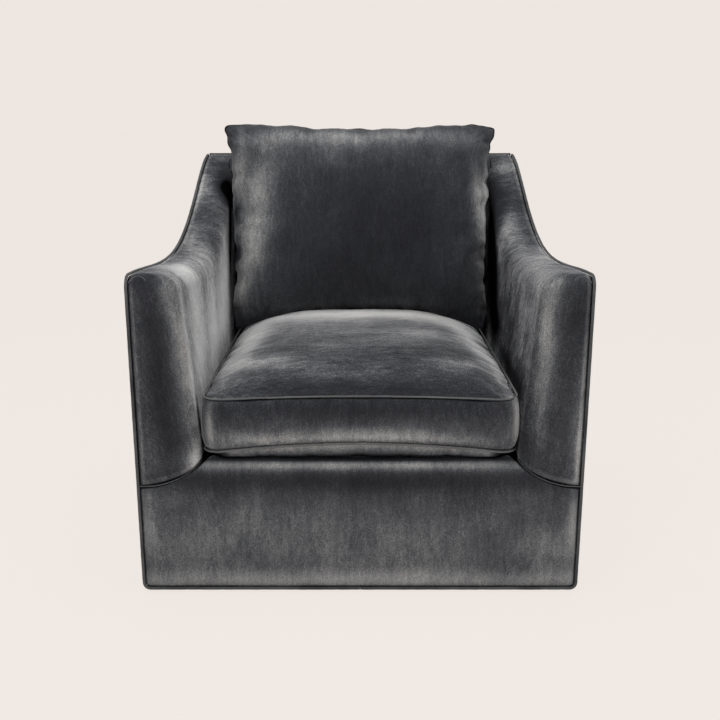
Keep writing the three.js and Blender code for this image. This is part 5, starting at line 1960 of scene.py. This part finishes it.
    def build(self, shop: Upholsterer) -> None:
        """Makes the cushion.

        Args:
            shop: who sews it.
        """
        skin = self._skin()
        seam = np.clip(1 - skin.edge / 0.015, 0, 1)
        rest = skin.points.copy()
        skin.points = skin.points + self.stuffing.puckers(skin, seam)
        out, drawn = self._gathers(skin)
        skin.points = skin.points + drawn
        front = eased(-skin.normals()[:, 1], -0.1, 0.1)
        skin.push(out + strokes_on(rest, self.creases) * front)
        skin.push(0.0015 * soft_noise(rest, 0.08, 91) * (1 - bell(skin.edge, 0.03)))
        skin.nap = 0.26 + strokes_on(rest, self.nap_strokes) + 0.07 * soft_noise(rest, 0.07, 92)
        skin.vivid = 0.95 + 0.9 * np.clip(skin.nap - 0.3, 0, 0.7)
        nodes = ("back_cushion_cover", "back_cushion_core")
        shop.cover("back_cushion_velvet", skin, "back_cushion", nodes, 0.0)


# Parts that keep their solids


class Carcass:
    """Finishes for the timber frame, suspension, dust cover, glides and zips."""

    def dress(self, nodes: dict[str, bpy.types.Object]) -> None:
        """Gives every remaining solid its material.

        Args:
            nodes: the solids by name.
        """
        finishes = {
            "timber": Timber().material(), "board": BOARD.material(), "cambric": CAMBRIC.material(),
            "webbing": WEBBING.material(), "steel": STEEL.material(), "nylon": NYLON.material(),
            "tape": TAPE.material(), "zinc": ZINC.material(),
        }
        for name, node in nodes.items():
            if node.hide_render:
                continue
            self._assign(node, finishes[self._kind(name)])
            log.info("%s: %s", name, self._kind(name))

    @staticmethod
    def _kind(name: str) -> str:
        """Which finish a solid takes.

        Args:
            name: name of the solid.

        Returns:
            The finish's key.
        """
        endings = {
            "_glide": "nylon", "_zip": "tape", "_zip_slider": "zinc", "_lining": "board", "dust_cover": "cambric",
        }
        for ending, kind in endings.items():
            if name.endswith(ending):
                return kind
        if name.startswith("seat_spring"):
            return "steel"
        return "webbing" if name.startswith("back_webbing") else "timber"

    @staticmethod
    def _assign(node: bpy.types.Object, material: bpy.types.Material) -> None:
        """Puts one material on a solid."""
        if not node.material_slots:
            node.data.materials.append(material)
        for slot in node.material_slots:
            slot.material = material


# Studio


@dataclass(frozen=True)
class Lamp:
    """One soft box."""

    name: str
    at: Point
    aim: Point
    size: float
    watts: float
    colour: Point = (1.0, 1.0, 1.0)


@dataclass
class Studio:
    """Camera, soft boxes, pale sweep and surround."""

    background: Colour = (0.878, 0.819, 0.774, 1.0)
    surround: Colour = (0.90, 0.90, 0.92, 1.0)
    ambient: float = 0.35
    shadow_share: float = 0.06
    lens: float = 62.5
    eye: Point = (0.0, -2.829, 1.165)
    pitch: float = 15.5
    lamps: tuple[Lamp, ...] = (
        Lamp("key", (-1.3, -2.7, 2.7), (0.0, 0.0, 0.45), 1.8, 62.0),
        Lamp("fill", (2.1, -2.2, 1.7), (0.0, 0.0, 0.45), 1.8, 26.0),
        Lamp("top", (0.0, 0.4, 3.0), (0.0, 0.0, 0.4), 2.2, 46.0),
    )

    def _camera(self) -> None:
        """Sets the camera where the photograph was taken from."""
        data = bpy.data.cameras.new("view")
        data.lens, data.sensor_width = self.lens, 36.0
        data.dof.use_dof = False
        camera = bpy.data.objects.new("view", data)
        camera.location = self.eye
        camera.rotation_euler = (math.radians(90 - self.pitch), 0, 0)
        bpy.context.scene.collection.objects.link(camera)
        bpy.context.scene.camera = camera

    def _lamp(self, lamp: Lamp) -> None:
        """Hangs one soft box.

        Args:
            lamp: which one.
        """
        data = bpy.data.lights.new(lamp.name, "AREA")
        data.shape, data.size, data.energy, data.color = "SQUARE", lamp.size, lamp.watts, lamp.colour
        box = bpy.data.objects.new(lamp.name, data)
        box.location = lamp.at
        away = np.array(lamp.at) - np.array(lamp.aim)
        level = math.hypot(away[0], away[1])
        box.rotation_euler = (math.atan2(level, away[2]), 0, math.atan2(away[0], -away[1]))
        bpy.context.scene.collection.objects.link(box)

    def _sweep(self) -> None:
        """Lays the pale floor, which turns up into a backdrop."""
        radius, reach, height = 1.2, 3.4, 3.6
        angles = np.linspace(0, math.pi / 2, 17)
        line = np.concatenate([
            [[-7.0, 0.0]], np.stack([reach + radius * np.sin(angles), radius * (1 - np.cos(angles))], 1),
            [[reach + radius, height]],
        ])
        points = np.array([[x, y, z] for x in (-7.0, 7.0) for y, z in line])
        count = len(line)
        faces = [[i, i + count, i + count + 1, i + 1] for i in range(count - 1)]
        sweep = made_mesh("sweep", points, faces)
        desk = Desk("pale_sweep")
        speck = desk.noise(desk.place(), 60.0, 3.0)
        shade = desk.ramp(speck, [(0.3, (0.78, 0.74, 0.71, 1.0)), (0.7, (0.80, 0.76, 0.73, 1.0))])
        paint = desk.node("ShaderNodeBsdfDiffuse", {}, {"Color": shade})
        glow = desk.node("ShaderNodeEmission", {}, {"Color": self.background, "Strength": 1.0})
        seen = desk.node("ShaderNodeLightPath", {}, {}, "Is Camera Ray")
        glossy = desk.node("ShaderNodeLightPath", {}, {}, "Is Glossy Ray")
        through = desk.node("ShaderNodeLightPath", {}, {}, "Is Transmission Ray")
        share = seen.most(glossy).most(through) * (1 - self.shadow_share)
        desk.node_output(desk.node("ShaderNodeMixShader", {}, {0: share, 1: paint, 2: glow}))
        sweep.data.materials.append(desk.material)

    def _surround(self) -> None:
        """Sets the light from all round and the colour behind everything."""
        world = bpy.data.worlds.new("surround")
        world.use_nodes = True
        tree = world.node_tree
        tree.nodes.clear()
        path = tree.nodes.new("ShaderNodeLightPath")
        plain = tree.nodes.new("ShaderNodeBackground")
        plain.inputs["Color"].default_value = self.surround
        plain.inputs["Strength"].default_value = self.ambient
        shown = tree.nodes.new("ShaderNodeBackground")
        shown.inputs["Color"].default_value = self.background
        mixer = tree.nodes.new("ShaderNodeMixShader")
        out = tree.nodes.new("ShaderNodeOutputWorld")
        tree.links.new(path.outputs["Is Camera Ray"], mixer.inputs[0])
        tree.links.new(plain.outputs[0], mixer.inputs[1])
        tree.links.new(shown.outputs[0], mixer.inputs[2])
        tree.links.new(mixer.outputs[0], out.inputs["Surface"])
        bpy.context.scene.world = world

    def build(self) -> None:
        """Sets up the whole studio."""
        bpy.context.scene.view_settings.view_transform = "Standard"
        self._camera()
        self._surround()
        self._sweep()
        for lamp in self.lamps:
            self._lamp(lamp)


def main() -> None:
    """Builds the chair's looks in order."""
    logging.basicConfig(level=logging.INFO, format="%(name)s %(message)s")
    Studio().build()
    shop = Upholsterer()
    for side in Side:
        Arm(side).build(shop)
    Border().build(shop)
    Deck().build(shop)
    InsideBack().build(shop)
    OutsidePanels().build(shop)
    FrameWelts().build(shop)
    SeatCushion().build(shop)
    BackCushion().build(shop)
    Carcass().dress(frame["nodes"])


if __name__ == "__main__":
    main()
